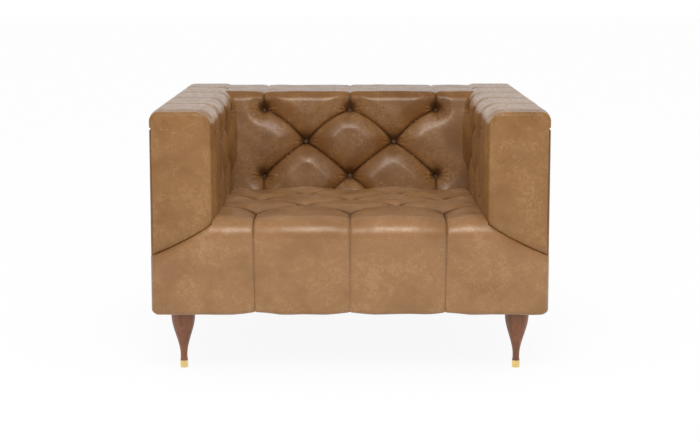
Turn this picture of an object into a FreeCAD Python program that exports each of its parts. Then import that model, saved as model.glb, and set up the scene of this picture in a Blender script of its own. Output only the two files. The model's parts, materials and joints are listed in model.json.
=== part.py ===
import FreeCAD, Part
import math
import os

# A tufted leather armchair with arms as high as its back, on four turned legs.
# Lengths are millimetres. X runs across the chair, Y from the front to the back and Z up.
# The origin is on the floor, below the middle of the chair. Left and right are the sitter's.

# Body, without the legs
body_width = 1066.0
body_depth = 916.0
body_height = 544.0
border_projection = 20.0

# Arms
arm_width = 163.0
arm_outer_radius = 25.0
arm_inner_radius = 38.0
outside_seam_depth = 45.0
arm_foam_thickness = 68.0

# Seat
seat_height = 258.0
seat_depth = 595.0
front_roll_radius = 55.0
border_edge_radius = 18.0
border_seam_inset = 112.5
tuck_in_depth = 100.0

# Seam between an arm facing and the front border: an arc through three points, each given by its
# distance in from the side of the chair and its height above the underside
facing_seam_outer_height = 157.0
facing_seam_middle_inset = 91.0
facing_seam_middle_height = 199.0
facing_seam_inner_inset = 167.0
facing_seam_inner_height = 244.0

# Back
back_top_depth = 3.0
back_recline_deg = 13.0
back_foam_thickness = 98.0
back_top_radius = 34.0
back_edge_radius = 8.0
top_foam_thickness = 28.0

# Covers and sheet goods
leather_thickness = 1.6
wadding_thickness = 8.0
facing_pad_thickness = 6.0
dust_cloth_thickness = 1.0
burlap_thickness = 1.0
webbing_thickness = 1.5
webbing_width = 50.0

# Wooden frame
rail_thickness = 28.0
rail_height = 106.0
board_thickness = 18.0
board_edge_foam = 12.0
post_depth = 45.0
arm_board_thickness = 22.0
tack_rail_height = 45.0
top_rail_height = 60.0
webbing_rail_height = 35.0
dowel_radius = 5.0
dowel_length = 50.0
dowel_inset = 28.0

# Springs
spring_wire_radius = 1.9
spring_wire_sides = 8
spring_half_width = 22.0
spring_pitch = 24.0
clip_width = 30.0
clip_thickness = 1.2
clip_lip = 12.0

# Tufting of the back and the arms: rows as depths below the top of the arms, columns of the back as
# distances in from the arms, columns of the arms as distances behind the facings
button_radius = 7.5
button_height = 6.0
button_edge_radius = 2.8
tuft_depth = 34.0
tuft_mouth_radius = 56.0
tuft_floor_radius = 8.5
back_row_depths = (60.0, 156.0, 260.0)
back_outer_column_inset = 103.5
back_middle_column_inset = 233.0
arm_row_depths = (60.0, 145.0, 260.0)
arm_outer_columns_length = (210.0, 395.0, 585.0)
arm_middle_columns_length = (302.0, 490.0)
spare_strap_inset = 196.0

# Tufting of the seat: rows as distances behind the arm facings, columns in from the arms
seat_tuft_rows_length = (140.0, 240.0, 340.0, 440.0, 540.0)
seat_outer_column_inset = 109.5
seat_middle_column_inset = 239.5
seat_tuft_depth = 14.0
seat_tuft_mouth_radius = 40.0
seat_tuft_floor_radius = 6.0
seat_button_radius = 5.0
seat_button_height = 3.0
seat_button_edge_radius = 1.4
twine_radius = 1.0
toggle_radius = 4.0
toggle_length = 22.0

# Legs
leg_height = 176.0
leg_inset_side = 70.5
leg_inset_front = 85.0
leg_top_radius = 28.0
leg_belly_radius = 32.5
leg_belly_depth = 35.0
leg_shoulder = (26.0, 68.0)
leg_waist = (14.2, 108.0)
leg_ankle_radius = 10.3
ferrule_height = 20.0
ferrule_wall = 1.2
ferrule_radius = 10.8
leg_block_size = 92.0
leg_block_height = 40.0
leg_block_chamfer = 35.0
bolt_radius = 4.0
bolt_depth_in_leg = 35.0
tee_nut_barrel_radius = 5.2
tee_nut_barrel_length = 10.0
tee_nut_flange_radius = 11.0
tee_nut_flange_thickness = 1.5
bolt_end_past_nut = 2.0

# Clearances
seam_gap = 0.4
fit_clearance = 0.3
side_clearance = 0.5
hole_clearance = 1.0
cutter_reach = 12.0

# Planes and heights worked out from the sizes above
half_width = body_width / 2
facing_y = -(body_depth - border_projection) / 2
border_y = facing_y - border_projection
back_y = facing_y + body_depth
underside_z = leg_height
arm_top_z = underside_z + body_height
back_top_z = arm_top_z - back_top_depth
seat_z = underside_z + seat_height
tuck_z = seat_z - tuck_in_depth
arm_inside_x = half_width - arm_width
inner_half_width = arm_inside_x - side_clearance
border_seam_x = inner_half_width - border_seam_inset
back_outer_column = inner_half_width - back_outer_column_inset
back_middle_column = inner_half_width - back_middle_column_inset
seat_outer_column = inner_half_width - seat_outer_column_inset
seat_middle_column = inner_half_width - seat_middle_column_inset
spare_strap_y = back_y - spare_strap_inset
recline = math.radians(back_recline_deg)

# Faces of the frame, inside the covers and the padding
frame_side_x = half_width - leather_thickness - wadding_thickness
frame_front_y = facing_y + leather_thickness + facing_pad_thickness
frame_back_y = back_y - leather_thickness - wadding_thickness
frame_bottom_z = underside_z + dust_cloth_thickness
rail_top_z = frame_bottom_z + rail_height
rail_inside_x = frame_side_x - rail_thickness
spring_z = rail_top_z + clip_thickness + spring_wire_radius
deck_z = spring_z + spring_wire_radius
seat_foam_z = deck_z + burlap_thickness
arm_web_x = arm_inside_x + arm_foam_thickness + burlap_thickness
arm_core_x = arm_web_x + webbing_thickness
arm_core_top_z = arm_top_z - leather_thickness - top_foam_thickness
back_core_top_z = back_top_z - leather_thickness - top_foam_thickness
back_web_depth = back_foam_thickness + burlap_thickness
back_core_depth = back_web_depth + 2 * webbing_thickness
board_front_y = frame_front_y + board_thickness
post_top_z = arm_core_top_z - arm_board_thickness
outside_seam_z = arm_top_z - outside_seam_depth
front_rail_inside_y = frame_front_y + rail_thickness
back_rail_inside_y = frame_back_y - rail_thickness


def vector(x, y, z):
    return FreeCAD.Vector(x, y, z)


def block(x_span, y_span, z_span):
    """Rectangular solid between two values along each axis."""
    corner = vector(x_span[0], y_span[0], z_span[0])
    return Part.makeBox(x_span[1] - x_span[0], y_span[1] - y_span[0], z_span[1] - z_span[0], corner)


def corner_arc(before, corner, after, radius):
    """Start, middle and end of the arc that rounds a corner of an outline."""
    to_before = math.atan2(before[1] - corner[1], before[0] - corner[0])
    to_after = math.atan2(after[1] - corner[1], after[0] - corner[0])
    half_angle = abs(math.remainder(to_after - to_before, 2 * math.pi)) / 2
    bisector = to_before + math.remainder(to_after - to_before, 2 * math.pi) / 2
    run = radius / math.tan(half_angle)
    reach = radius / math.sin(half_angle) - radius
    x, y = corner[:2]
    ways = ((to_before, run), (bisector, reach), (to_after, run))
    return [(x + length * math.cos(way), y + length * math.sin(way)) for way, length in ways]


def rounded_face(corners, place):
    """Flat face from corners (u, v, radius), put in space by place(u, v)."""
    stretches = []
    for index, corner in enumerate(corners):
        after = corners[(index + 1) % len(corners)]
        if corner[2] > 0:
            stretches.append(corner_arc(corners[index - 1], corner, after, corner[2]))
        else:
            stretches.append([corner[:2]])
    edges = []
    for index, stretch in enumerate(stretches):
        points = [place(u, v) for u, v in stretch]
        if len(points) == 3:
            edges.append(Part.Arc(*points).toShape())
        following = stretches[(index + 1) % len(stretches)]
        edges.append(Part.LineSegment(points[-1], place(*following[0])).toShape())
    return Part.Face(Part.Wire(edges))


def front_prism(corners, y_span):
    """Outline in X and Z, drawn from the front and carried back along Y."""
    face = rounded_face(corners, lambda x, z: vector(x, y_span[0], z))
    return face.extrude(vector(0, y_span[1] - y_span[0], 0))


def side_prism(corners, x_span):
    """Outline in Y and Z, drawn from the side and carried along X."""
    face = rounded_face(corners, lambda y, z: vector(x_span[0], y, z))
    return face.extrude(vector(x_span[1] - x_span[0], 0, 0))


def mirrored(shape):
    """The same piece on the other side of the chair."""
    return shape.mirror(vector(0, 0, 0), vector(1, 0, 0))


def along(shape, point, direction):
    """A piece made on the Z axis, moved to a point and turned to a direction."""
    turned = shape.copy()
    turned.Placement = FreeCAD.Placement(point, FreeCAD.Rotation(vector(0, 0, 1), direction))
    return turned


def midpoints(values):
    ordered = sorted(values)
    return [(low + high) / 2 for low, high in zip(ordered, ordered[1:])]


# Outlines of the soft parts, inset from the face of the leather

def arm_outline(inset, bottom_z):
    """Section across an arm, on the +X side."""
    return [
        (arm_inside_x + inset, bottom_z, 0),
        (half_width - inset, bottom_z, 0),
        (half_width - inset, arm_top_z - inset, arm_outer_radius - inset),
        (arm_inside_x + inset, arm_top_z - inset, arm_inner_radius - inset),
    ]


def back_face_y(z, depth):
    """Y of the plane that lies a depth behind the face of the inside back."""
    return border_y + seat_depth + (z - seat_z) * math.tan(recline) + depth / math.cos(recline)


def back_outline(inset):
    """Section through the back, seen from the side."""
    top = back_top_z - inset
    return [
        (back_face_y(tuck_z, inset), tuck_z, 0),
        (back_y - inset, tuck_z, 0),
        (back_y - inset, top, max(back_edge_radius - inset, 0)),
        (back_face_y(top, inset), top, back_top_radius - inset),
    ]


def back_sheet(depth_span, z_span, x_span):
    """Flat piece that leans with the inside back, between two depths behind its face."""
    low, high = z_span
    corners = [
        (back_face_y(low, depth_span[0]), low, 0),
        (back_face_y(low, depth_span[1]), low, 0),
        (back_face_y(high, depth_span[1]), high, 0),
        (back_face_y(high, depth_span[0]), high, 0),
    ]
    return side_prism(corners, x_span)


def seat_outline(inset, bottom_z):
    """Section through the seat and its rolled front edge, seen from the side."""
    rear_y = back_face_y(rail_top_z, back_core_depth)
    return [
        (border_y + inset, bottom_z, 0),
        (rear_y, bottom_z, 0),
        (rear_y, seat_z - inset, 0),
        (border_y + inset, seat_z - inset, front_roll_radius - inset),
    ]


def seam_circle():
    """Centre and radius of the arc of the facing's bottom seam."""
    outer = vector(half_width, 0, underside_z + facing_seam_outer_height)
    middle = vector(half_width - facing_seam_middle_inset, 0, underside_z + facing_seam_middle_height)
    inner = vector(half_width - facing_seam_inner_inset, 0, underside_z + facing_seam_inner_height)
    circle = Part.Arc(outer, middle, inner).toShape().Curve
    return circle.Center, circle.Radius


def seam_point(x, inset):
    """Point of the seam arc above X, with the arc moved down and out by an inset."""
    centre, radius = seam_circle()
    below_centre = math.sqrt((radius + inset) ** 2 - (x - centre.x) ** 2)
    return x, centre.z - below_centre


def below_seam(inset, x_span, bottom_z, y_span):
    """The space below the facing's bottom seam, on the +X side."""
    inner = seam_point(x_span[0], inset)
    middle = seam_point((x_span[0] + x_span[1]) / 2, inset)
    outer = seam_point(x_span[1], inset)
    corners = [(x_span[0], bottom_z), (x_span[1], bottom_z), outer, middle, inner]
    points = [vector(x, y_span[0], z) for x, z in corners]
    edges = [
        Part.LineSegment(points[0], points[1]).toShape(),
        Part.LineSegment(points[1], points[2]).toShape(),
        Part.Arc(points[2], points[3], points[4]).toShape(),
        Part.LineSegment(points[4], points[0]).toShape(),
    ]
    return Part.Face(Part.Wire(edges)).extrude(vector(0, y_span[1] - y_span[0], 0))


# Tufting

def tuft_hollow(base, outward, depth, mouth_radius, floor_radius):
    """Cone that a button pulls into the padding, open past the surface."""
    height = depth + cutter_reach
    slope = (mouth_radius - floor_radius) / depth
    return Part.makeCone(floor_radius, floor_radius + slope * height, height, base, outward)


def back_tufts():
    """Where each back button sits, and the way it faces."""
    outward = vector(0, -math.cos(recline), math.sin(recline))
    bases = []
    for row, depth in enumerate(back_row_depths):
        z = arm_top_z - depth
        columns = (-back_outer_column, 0, back_outer_column)
        if row == 1:
            columns = (-back_middle_column, back_middle_column)
        bases += [vector(x, back_face_y(z, tuft_depth), z) for x in columns]
    return [(base, outward) for base in bases]


def arm_tufts():
    """Where each button of the +X arm sits, and the way it faces."""
    bases = []
    for row, depth in enumerate(arm_row_depths):
        columns = arm_middle_columns_length if row == 1 else arm_outer_columns_length
        bases += [vector(arm_inside_x + tuft_depth, facing_y + y, arm_top_z - depth) for y in columns]
    return [(base, vector(-1, 0, 0)) for base in bases]


def seat_tufts():
    """Where each tuft of the seat is pulled down, and the way it faces."""
    bases = []
    for row, distance in enumerate(seat_tuft_rows_length):
        columns = (-seat_outer_column, 0, seat_outer_column)
        if row % 2 == 1:
            columns = (-seat_middle_column, seat_middle_column)
        bases += [vector(x, facing_y + distance, seat_z - seat_tuft_depth) for x in columns]
    return [(base, vector(0, 0, 1)) for base in bases]


def deep_hollows(tufts, inset):
    """The hollows of the back or an arm, moved in by the thickness of the leather."""
    return [
        tuft_hollow(base - outward * inset, outward, tuft_depth, tuft_mouth_radius, tuft_floor_radius)
        for base, outward in tufts
    ]


def seat_hollows(inset):
    return [
        tuft_hollow(
            base - outward * inset, outward, seat_tuft_depth, seat_tuft_mouth_radius, seat_tuft_floor_radius
        )
        for base, outward in seat_tufts()
    ]


def twines(tufts, length):
    """One twine behind each button, to the back of the burlap."""
    return [Part.makeCylinder(twine_radius, length, base, outward * -1) for base, outward in tufts]


def toggles(tufts, length, lie):
    """A small bar behind the burlap holds each twine. It lies along a given way."""
    bars = []
    for base, outward in tufts:
        middle = base - outward * (length + toggle_radius)
        start = middle - lie * (toggle_length / 2)
        bars.append(Part.makeCylinder(toggle_radius, toggle_length, start, lie))
    return bars


def covered_button(radius, height, edge_radius):
    """Domed button with a flat underside."""
    disc = Part.makeCylinder(radius, height)
    rim = [edge for edge in disc.Edges if edge.BoundBox.ZMin > height / 2]
    return disc.makeFillet(edge_radius, rim)


def buttons(tufts, radius, height, edge_radius):
    button = covered_button(radius, height, edge_radius)
    return [along(button, base, outward) for base, outward in tufts]


back_twine_length = back_web_depth - tuft_depth
arm_twine_length = arm_foam_thickness + burlap_thickness - tuft_depth
seat_twine_length = seat_z - seat_tuft_depth - deck_z


# Base frame

def side_rail():
    rail = block((rail_inside_x, frame_side_x), (frame_front_y, frame_back_y), (frame_bottom_z, rail_top_z))
    return rail.cut(rail_dowels())


def cross_rail(y_span):
    """Rail between the two side rails."""
    rail = block((-rail_inside_x, rail_inside_x), y_span, (frame_bottom_z, rail_top_z))
    return rail.cut(rail_dowels())


def cross_rail_spans():
    """Y spans of the front rail, the back rail and the rail that carries the springs' rear ends."""
    spring_rail_y = back_face_y(rail_top_z, back_core_depth)
    return (
        (frame_front_y, front_rail_inside_y),
        (back_rail_inside_y, frame_back_y),
        (spring_rail_y, spring_rail_y + rail_thickness),
    )


def rail_dowels():
    """Two dowels at each end of each cross rail, half in the side rail's thickness."""
    depth_in_side = rail_thickness - dowel_radius
    start_x = rail_inside_x + depth_in_side - dowel_length
    pins = []
    for low, high in cross_rail_spans():
        for z in (frame_bottom_z + dowel_inset, rail_top_z - dowel_inset):
            start = vector(start_x, (low + high) / 2, z)
            pin = Part.makeCylinder(dowel_radius, dowel_length, start, vector(1, 0, 0))
            pins += [pin, mirrored(pin)]
    return pins


def leg_places():
    """X, Y and the front or rear of each leg on the +X side."""
    x = half_width - leg_inset_side
    return {"front": (x, facing_y + leg_inset_front), "rear": (x, back_y - leg_inset_front)}


def leg_block(place):
    """Block glued in a corner of the base frame, which takes a leg's bolt."""
    side = rail_inside_x
    free = side - leg_block_size
    if place == "front":
        wall, reach = front_rail_inside_y, leg_block_size
    else:
        wall, reach = back_rail_inside_y, -leg_block_size
    cut_back = math.copysign(leg_block_chamfer, reach)
    outline = [
        (side, wall),
        (side, wall + reach),
        (free + leg_block_chamfer, wall + reach),
        (free, wall + reach - cut_back),
        (free, wall),
    ]
    points = [vector(x, y, frame_bottom_z) for x, y in outline]
    face = Part.Face(Part.makePolygon(points + points[:1]))
    solid = face.extrude(vector(0, 0, leg_block_height))
    x, y = leg_places()[place]
    top = frame_bottom_z + leg_block_height
    nut_z = top - tee_nut_barrel_length
    bottom = vector(x, y, frame_bottom_z)
    bolt_hole = Part.makeCylinder(bolt_radius + fit_clearance, leg_block_height, bottom)
    nut_hole = Part.makeCylinder(tee_nut_barrel_radius, tee_nut_barrel_length, vector(x, y, nut_z))
    return solid.cut([bolt_hole, nut_hole])


def hanger_bolt(x, y):
    start = frame_bottom_z - bolt_depth_in_leg
    end = frame_bottom_z + leg_block_height + tee_nut_flange_thickness + bolt_end_past_nut
    return Part.makeCylinder(bolt_radius, end - start, vector(x, y, start))


def tee_nut(x, y):
    top = frame_bottom_z + leg_block_height
    nut_z = top - tee_nut_barrel_length
    barrel = Part.makeCylinder(tee_nut_barrel_radius, tee_nut_barrel_length, vector(x, y, nut_z))
    flange = Part.makeCylinder(tee_nut_flange_radius, tee_nut_flange_thickness, vector(x, y, top))
    return barrel.fuse(flange).cut(hanger_bolt(x, y))


# Legs

def leg(x, y):
    """Turned leg: a round belly below the seat, a slim ankle and a tip inside the ferrule."""
    top = frame_bottom_z
    tip_radius = ferrule_radius - ferrule_wall
    shape_points = [
        (leg_ankle_radius, ferrule_height),
        (leg_waist[0], top - leg_waist[1]),
        (leg_shoulder[0], top - leg_shoulder[1]),
        (leg_belly_radius, top - leg_belly_depth),
        (leg_top_radius, top),
    ]
    curve = Part.BSplineCurve()
    curve.interpolate([vector(radius, 0, z) for radius, z in shape_points])
    straight = [(leg_top_radius, top), (0, top), (0, ferrule_wall), (tip_radius, ferrule_wall),
                (tip_radius, ferrule_height), (leg_ankle_radius, ferrule_height)]
    edges = [curve.toShape()]
    for start, end in zip(straight, straight[1:]):
        edges.append(Part.LineSegment(vector(start[0], 0, start[1]), vector(end[0], 0, end[1])).toShape())
    solid = Part.Face(Part.Wire(edges)).revolve(vector(0, 0, 0), vector(0, 0, 1), 360)
    solid.translate(vector(x, y, 0))
    return solid.cut(hanger_bolt(x, y))


def ferrule(x, y):
    """Brass cup on the foot of a leg."""
    cup = Part.makeCylinder(ferrule_radius, ferrule_height, vector(x, y, 0))
    inside = Part.makeCylinder(ferrule_radius - ferrule_wall, ferrule_height, vector(x, y, ferrule_wall))
    return cup.cut(inside)


# Seat

def spring_section(start):
    """Section of the spring's wire, with flats instead of a round so that its bends stay simple."""
    corners = []
    for side in range(spring_wire_sides + 1):
        angle = 2 * math.pi * (side + 0.5) / spring_wire_sides
        reach = spring_wire_radius / math.cos(math.pi / spring_wire_sides)
        corners.append(start + vector(0, reach * math.cos(angle), reach * math.sin(angle)))
    return Part.makePolygon(corners)


def seat_spring(x):
    """Flat serpentine spring from the front rail to the spring rail."""
    bend = spring_pitch / 2
    half_run = spring_half_width - bend
    start_y = (cross_rail_spans()[0][0] + cross_rail_spans()[0][1]) / 2
    end_y = (cross_rail_spans()[2][0] + cross_rail_spans()[2][1]) / 2
    runs = int((end_y - start_y) / spring_pitch)
    first_y = (start_y + end_y - runs * spring_pitch) / 2
    edges = []
    for run in range(runs + 1):
        y = first_y + run * spring_pitch
        way = 1 if run % 2 == 0 else -1
        near = vector(x - way * half_run, y, spring_z)
        far = vector(x + way * half_run, y, spring_z)
        edges.append(Part.LineSegment(near, far).toShape())
        if run < runs:
            outer = vector(x + way * spring_half_width, y + bend, spring_z)
            following = vector(x + way * half_run, y + spring_pitch, spring_z)
            edges.append(Part.Arc(far, outer, following).toShape())
    path = Part.Wire(edges)
    start = edges[0].valueAt(edges[0].FirstParameter)
    return path.makePipeShell([spring_section(start)], True, False), first_y, first_y + runs * spring_pitch


def spring_columns():
    """Springs lie midway between the columns of seat tufts, and between those and the sides of the back."""
    side_board_x = inner_half_width - board_thickness
    columns = (seat_outer_column, seat_middle_column, 0, -seat_middle_column, -seat_outer_column)
    return midpoints((side_board_x, -side_board_x) + columns)


def spring_clip(x, y, way):
    """Folded steel clip that holds the end of a spring on its rail."""
    gap = spring_wire_radius + fit_clearance
    lower = rail_top_z
    upper = spring_z + spring_wire_radius
    heel = gap + clip_thickness
    outline = [
        (y - way * clip_lip, lower, 0),
        (y + way * heel, lower, 0),
        (y + way * heel, upper, 0),
        (y + way * gap, upper, 0),
        (y + way * gap, lower + clip_thickness, 0),
        (y - way * clip_lip, lower + clip_thickness, 0),
    ]
    return side_prism(outline, (x - clip_width / 2, x + clip_width / 2))


def seat_burlap():
    """Burlap over the springs, under the seat foam."""
    rear_y = cross_rail_spans()[2][0]
    sheet = block((-inner_half_width, inner_half_width), (frame_front_y, rear_y), (deck_z, seat_foam_z))
    return sheet.cut(twines(seat_tufts(), seat_twine_length))


def behind_back_face():
    """The space that the back takes from the rear of the seat."""
    return side_prism(back_outline(-fit_clearance), (-half_width, half_width))


def seat_foam():
    body = side_prism(seat_outline(leather_thickness, seat_foam_z), (-inner_half_width, inner_half_width))
    holes = twines(seat_tufts(), seat_twine_length)
    return body.cut(seat_hollows(leather_thickness) + holes + [behind_back_face()])


def seat_shell():
    """Leather over the seat and down its front, still in one piece."""
    outer = side_prism(seat_outline(0, underside_z), (-inner_half_width, inner_half_width))
    inner = side_prism(seat_outline(leather_thickness, underside_z), (-inner_half_width, inner_half_width))
    skin = outer.cut(seat_hollows(0)).cut(inner.cut(seat_hollows(leather_thickness)))
    return skin.cut(twines(seat_tufts(), seat_twine_length) + [behind_back_face()])


def border_seam_y():
    """The border's leather ends at the first row of tufts."""
    return facing_y + seat_tuft_rows_length[0]


def seat_cover():
    reach = block((-half_width, half_width), (border_seam_y() + seam_gap / 2, back_y), (0, arm_top_z))
    return seat_shell().common(reach)


def border_end(inset, rear_y):
    """Front border below an arm facing: a slab with rounded front edges, on the +X side."""
    x_span = (inner_half_width, half_width - inset)
    front_y = border_y + inset
    slab = below_seam(inset, x_span, underside_z, (front_y, rear_y))
    front_edges = []
    for edge in slab.Edges:
        box = edge.BoundBox
        on_front = abs(box.YMax - front_y) < seam_gap
        inner_side = box.XMax < inner_half_width + seam_gap
        bottom = box.ZMax < underside_z + seam_gap
        if on_front and not inner_side and not bottom:
            front_edges.append(edge)
    return slab.makeFillet(border_edge_radius - inset, front_edges)


def border_shell():
    """Leather of the front border, still in one piece, on the +X side."""
    rear_y = facing_y + leather_thickness - seam_gap
    end = border_end(0, rear_y).cut(border_end(leather_thickness, rear_y))
    front = block((0, half_width), (border_y, border_seam_y() - seam_gap / 2), (0, arm_top_z))
    return seat_shell().common(front).fuse(end)


def border_panel(x_span):
    strip = block(x_span, (border_y, back_y), (0, arm_top_z))
    return border_shell().common(strip)


def border_foam():
    """Foam behind the front border, across the whole width."""
    end = border_end(leather_thickness, frame_front_y)
    end = end.cut(block((0, half_width), (border_y, back_y), (0, frame_bottom_z)))
    x_span = (-inner_half_width, inner_half_width)
    y_span = (border_y + leather_thickness, frame_front_y)
    middle = block(x_span, y_span, (frame_bottom_z, seat_foam_z))
    return middle.fuse([end, mirrored(end)]).removeSplitter()


# Arms, all on the +X side

def arm_front_board():
    """Plywood end of the arm, behind the facing."""
    outline = arm_outline(leather_thickness + board_edge_foam, rail_top_z)
    board = front_prism(outline, (frame_front_y, board_front_y))
    outer_strip = block((frame_side_x, half_width), (border_y, back_y), (0, arm_top_z))
    return board.cut(outer_strip)


def arm_post(y_span):
    return block((arm_core_x, frame_side_x), y_span, (rail_top_z, post_top_z))


def arm_posts():
    front = arm_post((board_front_y, board_front_y + post_depth))
    rear = arm_post((frame_back_y - post_depth, frame_back_y))
    return [front, rear]


def arm_top_board():
    return block((arm_core_x, frame_side_x), (board_front_y, frame_back_y), (post_top_z, arm_core_top_z))


def arm_tack_rail():
    y_span = (board_front_y + post_depth, frame_back_y - post_depth)
    return block((arm_core_x, arm_core_x + rail_thickness), y_span, (tuck_z, tuck_z + tack_rail_height))


def arm_burlap():
    """Burlap behind the arm foam."""
    y_span = (board_front_y, frame_back_y)
    sheet = block((arm_inside_x + arm_foam_thickness, arm_web_x), y_span, (tuck_z, arm_core_top_z))
    return sheet.cut(twines(arm_tufts(), arm_twine_length) + [rear_top_rail()])


def arm_webbing():
    """Straps between the button columns, and one beside the back."""
    half = webbing_width / 2
    columns = midpoints(arm_outer_columns_length + arm_middle_columns_length)
    places = [facing_y + column for column in columns] + [spare_strap_y]
    return [block((arm_web_x, arm_core_x), (y - half, y + half), (tuck_z, arm_core_top_z)) for y in places]


def arm_foam():
    """Foam inside, over the top and down to the outside seam of the arm."""
    body = front_prism(arm_outline(leather_thickness, tuck_z), (frame_front_y, back_y - leather_thickness))
    far_x = half_width + cutter_reach
    core_x_span = (arm_inside_x + arm_foam_thickness, frame_side_x)
    core = block(core_x_span, (board_front_y, back_y), (0, arm_core_top_z))
    below_outside_seam = block((frame_side_x, far_x), (border_y, back_y), (0, outside_seam_z))
    rear_skin = block((0, far_x), (frame_back_y, back_y), (0, back_core_top_z))
    holes = twines(arm_tufts(), arm_twine_length)
    cutters = [core, below_outside_seam, rear_skin, arm_front_board(), rear_top_rail()]
    return body.cut(cutters + deep_hollows(arm_tufts(), leather_thickness) + holes)


def arm_inside_cover():
    """Leather of the inside arm, over the top and down to the outside seam."""
    y_span = (facing_y + leather_thickness + seam_gap, back_y - leather_thickness)
    outer = front_prism(arm_outline(0, tuck_z), y_span).cut(deep_hollows(arm_tufts(), 0))
    inner = front_prism(arm_outline(leather_thickness, tuck_z), y_span)
    inner = inner.cut(deep_hollows(arm_tufts(), leather_thickness))
    below_outside_seam = block((arm_core_x, half_width), (border_y, back_y), (0, outside_seam_z + seam_gap))
    rear_skin = block((0, half_width), (frame_back_y, back_y), (0, back_core_top_z))
    border_x_span = (arm_inside_x - cutter_reach, half_width)
    behind_border = below_seam(-seam_gap, border_x_span, underside_z, (facing_y, frame_front_y))
    holes = twines(arm_tufts(), arm_twine_length)
    return outer.cut(inner).cut([below_outside_seam, rear_skin, behind_border, rear_top_rail()] + holes)


def arm_facing(inset, y_span, gap):
    """Flat panel on the front end of the arm, above the curved seam."""
    panel = front_prism(arm_outline(inset, rail_top_z), y_span)
    far_x = half_width + cutter_reach
    return panel.cut(below_seam(-gap, (arm_inside_x - cutter_reach, far_x), underside_z, y_span))


def outside_arm_cover():
    x_span = (half_width - leather_thickness, half_width)
    y_span = (facing_y + leather_thickness, back_y - leather_thickness)
    return block(x_span, y_span, (underside_z, outside_seam_z))


# Back

def rear_top_rail():
    """Rail behind the top of the back, which runs into the arms to their rear posts."""
    x_span = (-arm_core_x, arm_core_x)
    y_span = (back_rail_inside_y, frame_back_y)
    return block(x_span, y_span, (back_core_top_z - top_rail_height, back_core_top_z))


def back_side_board():
    """Plywood side of the back's frame, on the +X side."""
    outline = [
        (back_face_y(rail_top_z, back_core_depth), rail_top_z, 0),
        (frame_back_y, rail_top_z, 0),
        (frame_back_y, back_core_top_z, 0),
        (back_face_y(back_core_top_z, back_core_depth), back_core_top_z, 0),
    ]
    board = side_prism(outline, (inner_half_width - board_thickness, inner_half_width))
    return board.cut(rear_top_rail())


def between_boards(depth_span, z_span):
    inside_x = inner_half_width - board_thickness
    return back_sheet(depth_span, z_span, (-inside_x, inside_x))


def front_top_rail():
    """Leaning rail at the top of the back's frame, which takes the webbing."""
    depth_span = (back_core_depth, back_core_depth + rail_thickness)
    return between_boards(depth_span, (back_core_top_z - webbing_rail_height, back_core_top_z))


def back_tack_rail():
    depth_span = (back_core_depth, back_core_depth + rail_thickness)
    return between_boards(depth_span, (tuck_z, tuck_z + tack_rail_height))


def back_burlap():
    x_span = (-inner_half_width, inner_half_width)
    sheet = back_sheet((back_foam_thickness, back_web_depth), (tuck_z, back_core_top_z), x_span)
    return sheet.cut(twines(back_tufts(), back_twine_length))


def back_webbing():
    """Upright straps between the button columns, and level straps behind them between the rows."""
    half = webbing_width / 2
    columns = (-back_outer_column, -back_middle_column, 0, back_middle_column, back_outer_column)
    upright_depth = (back_web_depth, back_web_depth + webbing_thickness)
    level_depth = (back_web_depth + webbing_thickness, back_core_depth)
    straps = []
    for x in midpoints(columns):
        straps.append(back_sheet(upright_depth, (tuck_z, back_core_top_z), (x - half, x + half)))
    for depth in midpoints(back_row_depths):
        z = arm_top_z - depth
        straps.append(back_sheet(level_depth, (z - half, z + half), (-inner_half_width, inner_half_width)))
    return straps


def back_foam():
    """Foam on the inside back and over its top."""
    x_span = (-inner_half_width, inner_half_width)
    body = side_prism(back_outline(leather_thickness), x_span)
    core_corners = [
        (back_face_y(0, back_foam_thickness), 0, 0),
        (back_y, 0, 0),
        (back_y, back_core_top_z, 0),
        (back_face_y(back_core_top_z, back_foam_thickness), back_core_top_z, 0),
    ]
    core = side_prism(core_corners, x_span)
    holes = twines(back_tufts(), back_twine_length)
    return body.cut([core] + deep_hollows(back_tufts(), leather_thickness) + holes)


def inside_back_cover():
    """Leather of the inside back, over the top to the rear seam."""
    x_span = (-inner_half_width, inner_half_width)
    outer = side_prism(back_outline(0), x_span).cut(deep_hollows(back_tufts(), 0))
    inner = side_prism(back_outline(leather_thickness), x_span)
    inner = inner.cut(deep_hollows(back_tufts(), leather_thickness))
    rear = block((-half_width, half_width), (back_y - leather_thickness, back_y), (0, arm_top_z))
    return outer.cut(inner).cut([rear] + twines(back_tufts(), back_twine_length))


def outside_back_cover():
    """Flat leather panel across the whole rear of the chair."""
    outline = [
        (-half_width, underside_z, 0),
        (half_width, underside_z, 0),
        (half_width, arm_top_z, arm_outer_radius),
        (arm_inside_x, arm_top_z, 0),
        (arm_inside_x, back_top_z, 0),
        (-arm_inside_x, back_top_z, 0),
        (-arm_inside_x, arm_top_z, 0),
        (-half_width, arm_top_z, arm_outer_radius),
    ]
    return front_prism(outline, (back_y - leather_thickness, back_y))


def outside_wadding():
    """Thin wadding between the frame and the outside covers: one sheet a side and one at the rear."""
    side_x_span = (frame_side_x, half_width - leather_thickness)
    side = block(side_x_span, (frame_front_y, frame_back_y), (frame_bottom_z, outside_seam_z))
    rear_y_span = (frame_back_y, back_y - leather_thickness)
    rear = block((-frame_side_x, frame_side_x), rear_y_span, (frame_bottom_z, back_core_top_z))
    return [side, mirrored(side), rear]


def dust_cover():
    """Black cloth under the frame, with a hole for each leg."""
    x_span = (-frame_side_x, frame_side_x)
    sheet = block(x_span, (frame_front_y, frame_back_y), (underside_z, frame_bottom_z))
    holes = []
    hole_radius = leg_top_radius + hole_clearance
    for x, y in leg_places().values():
        hole = Part.makeCylinder(hole_radius, dust_cloth_thickness, vector(x, y, underside_z))
        holes += [hole, mirrored(hole)]
    return sheet.cut(holes)


# Write each sub-part

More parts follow.
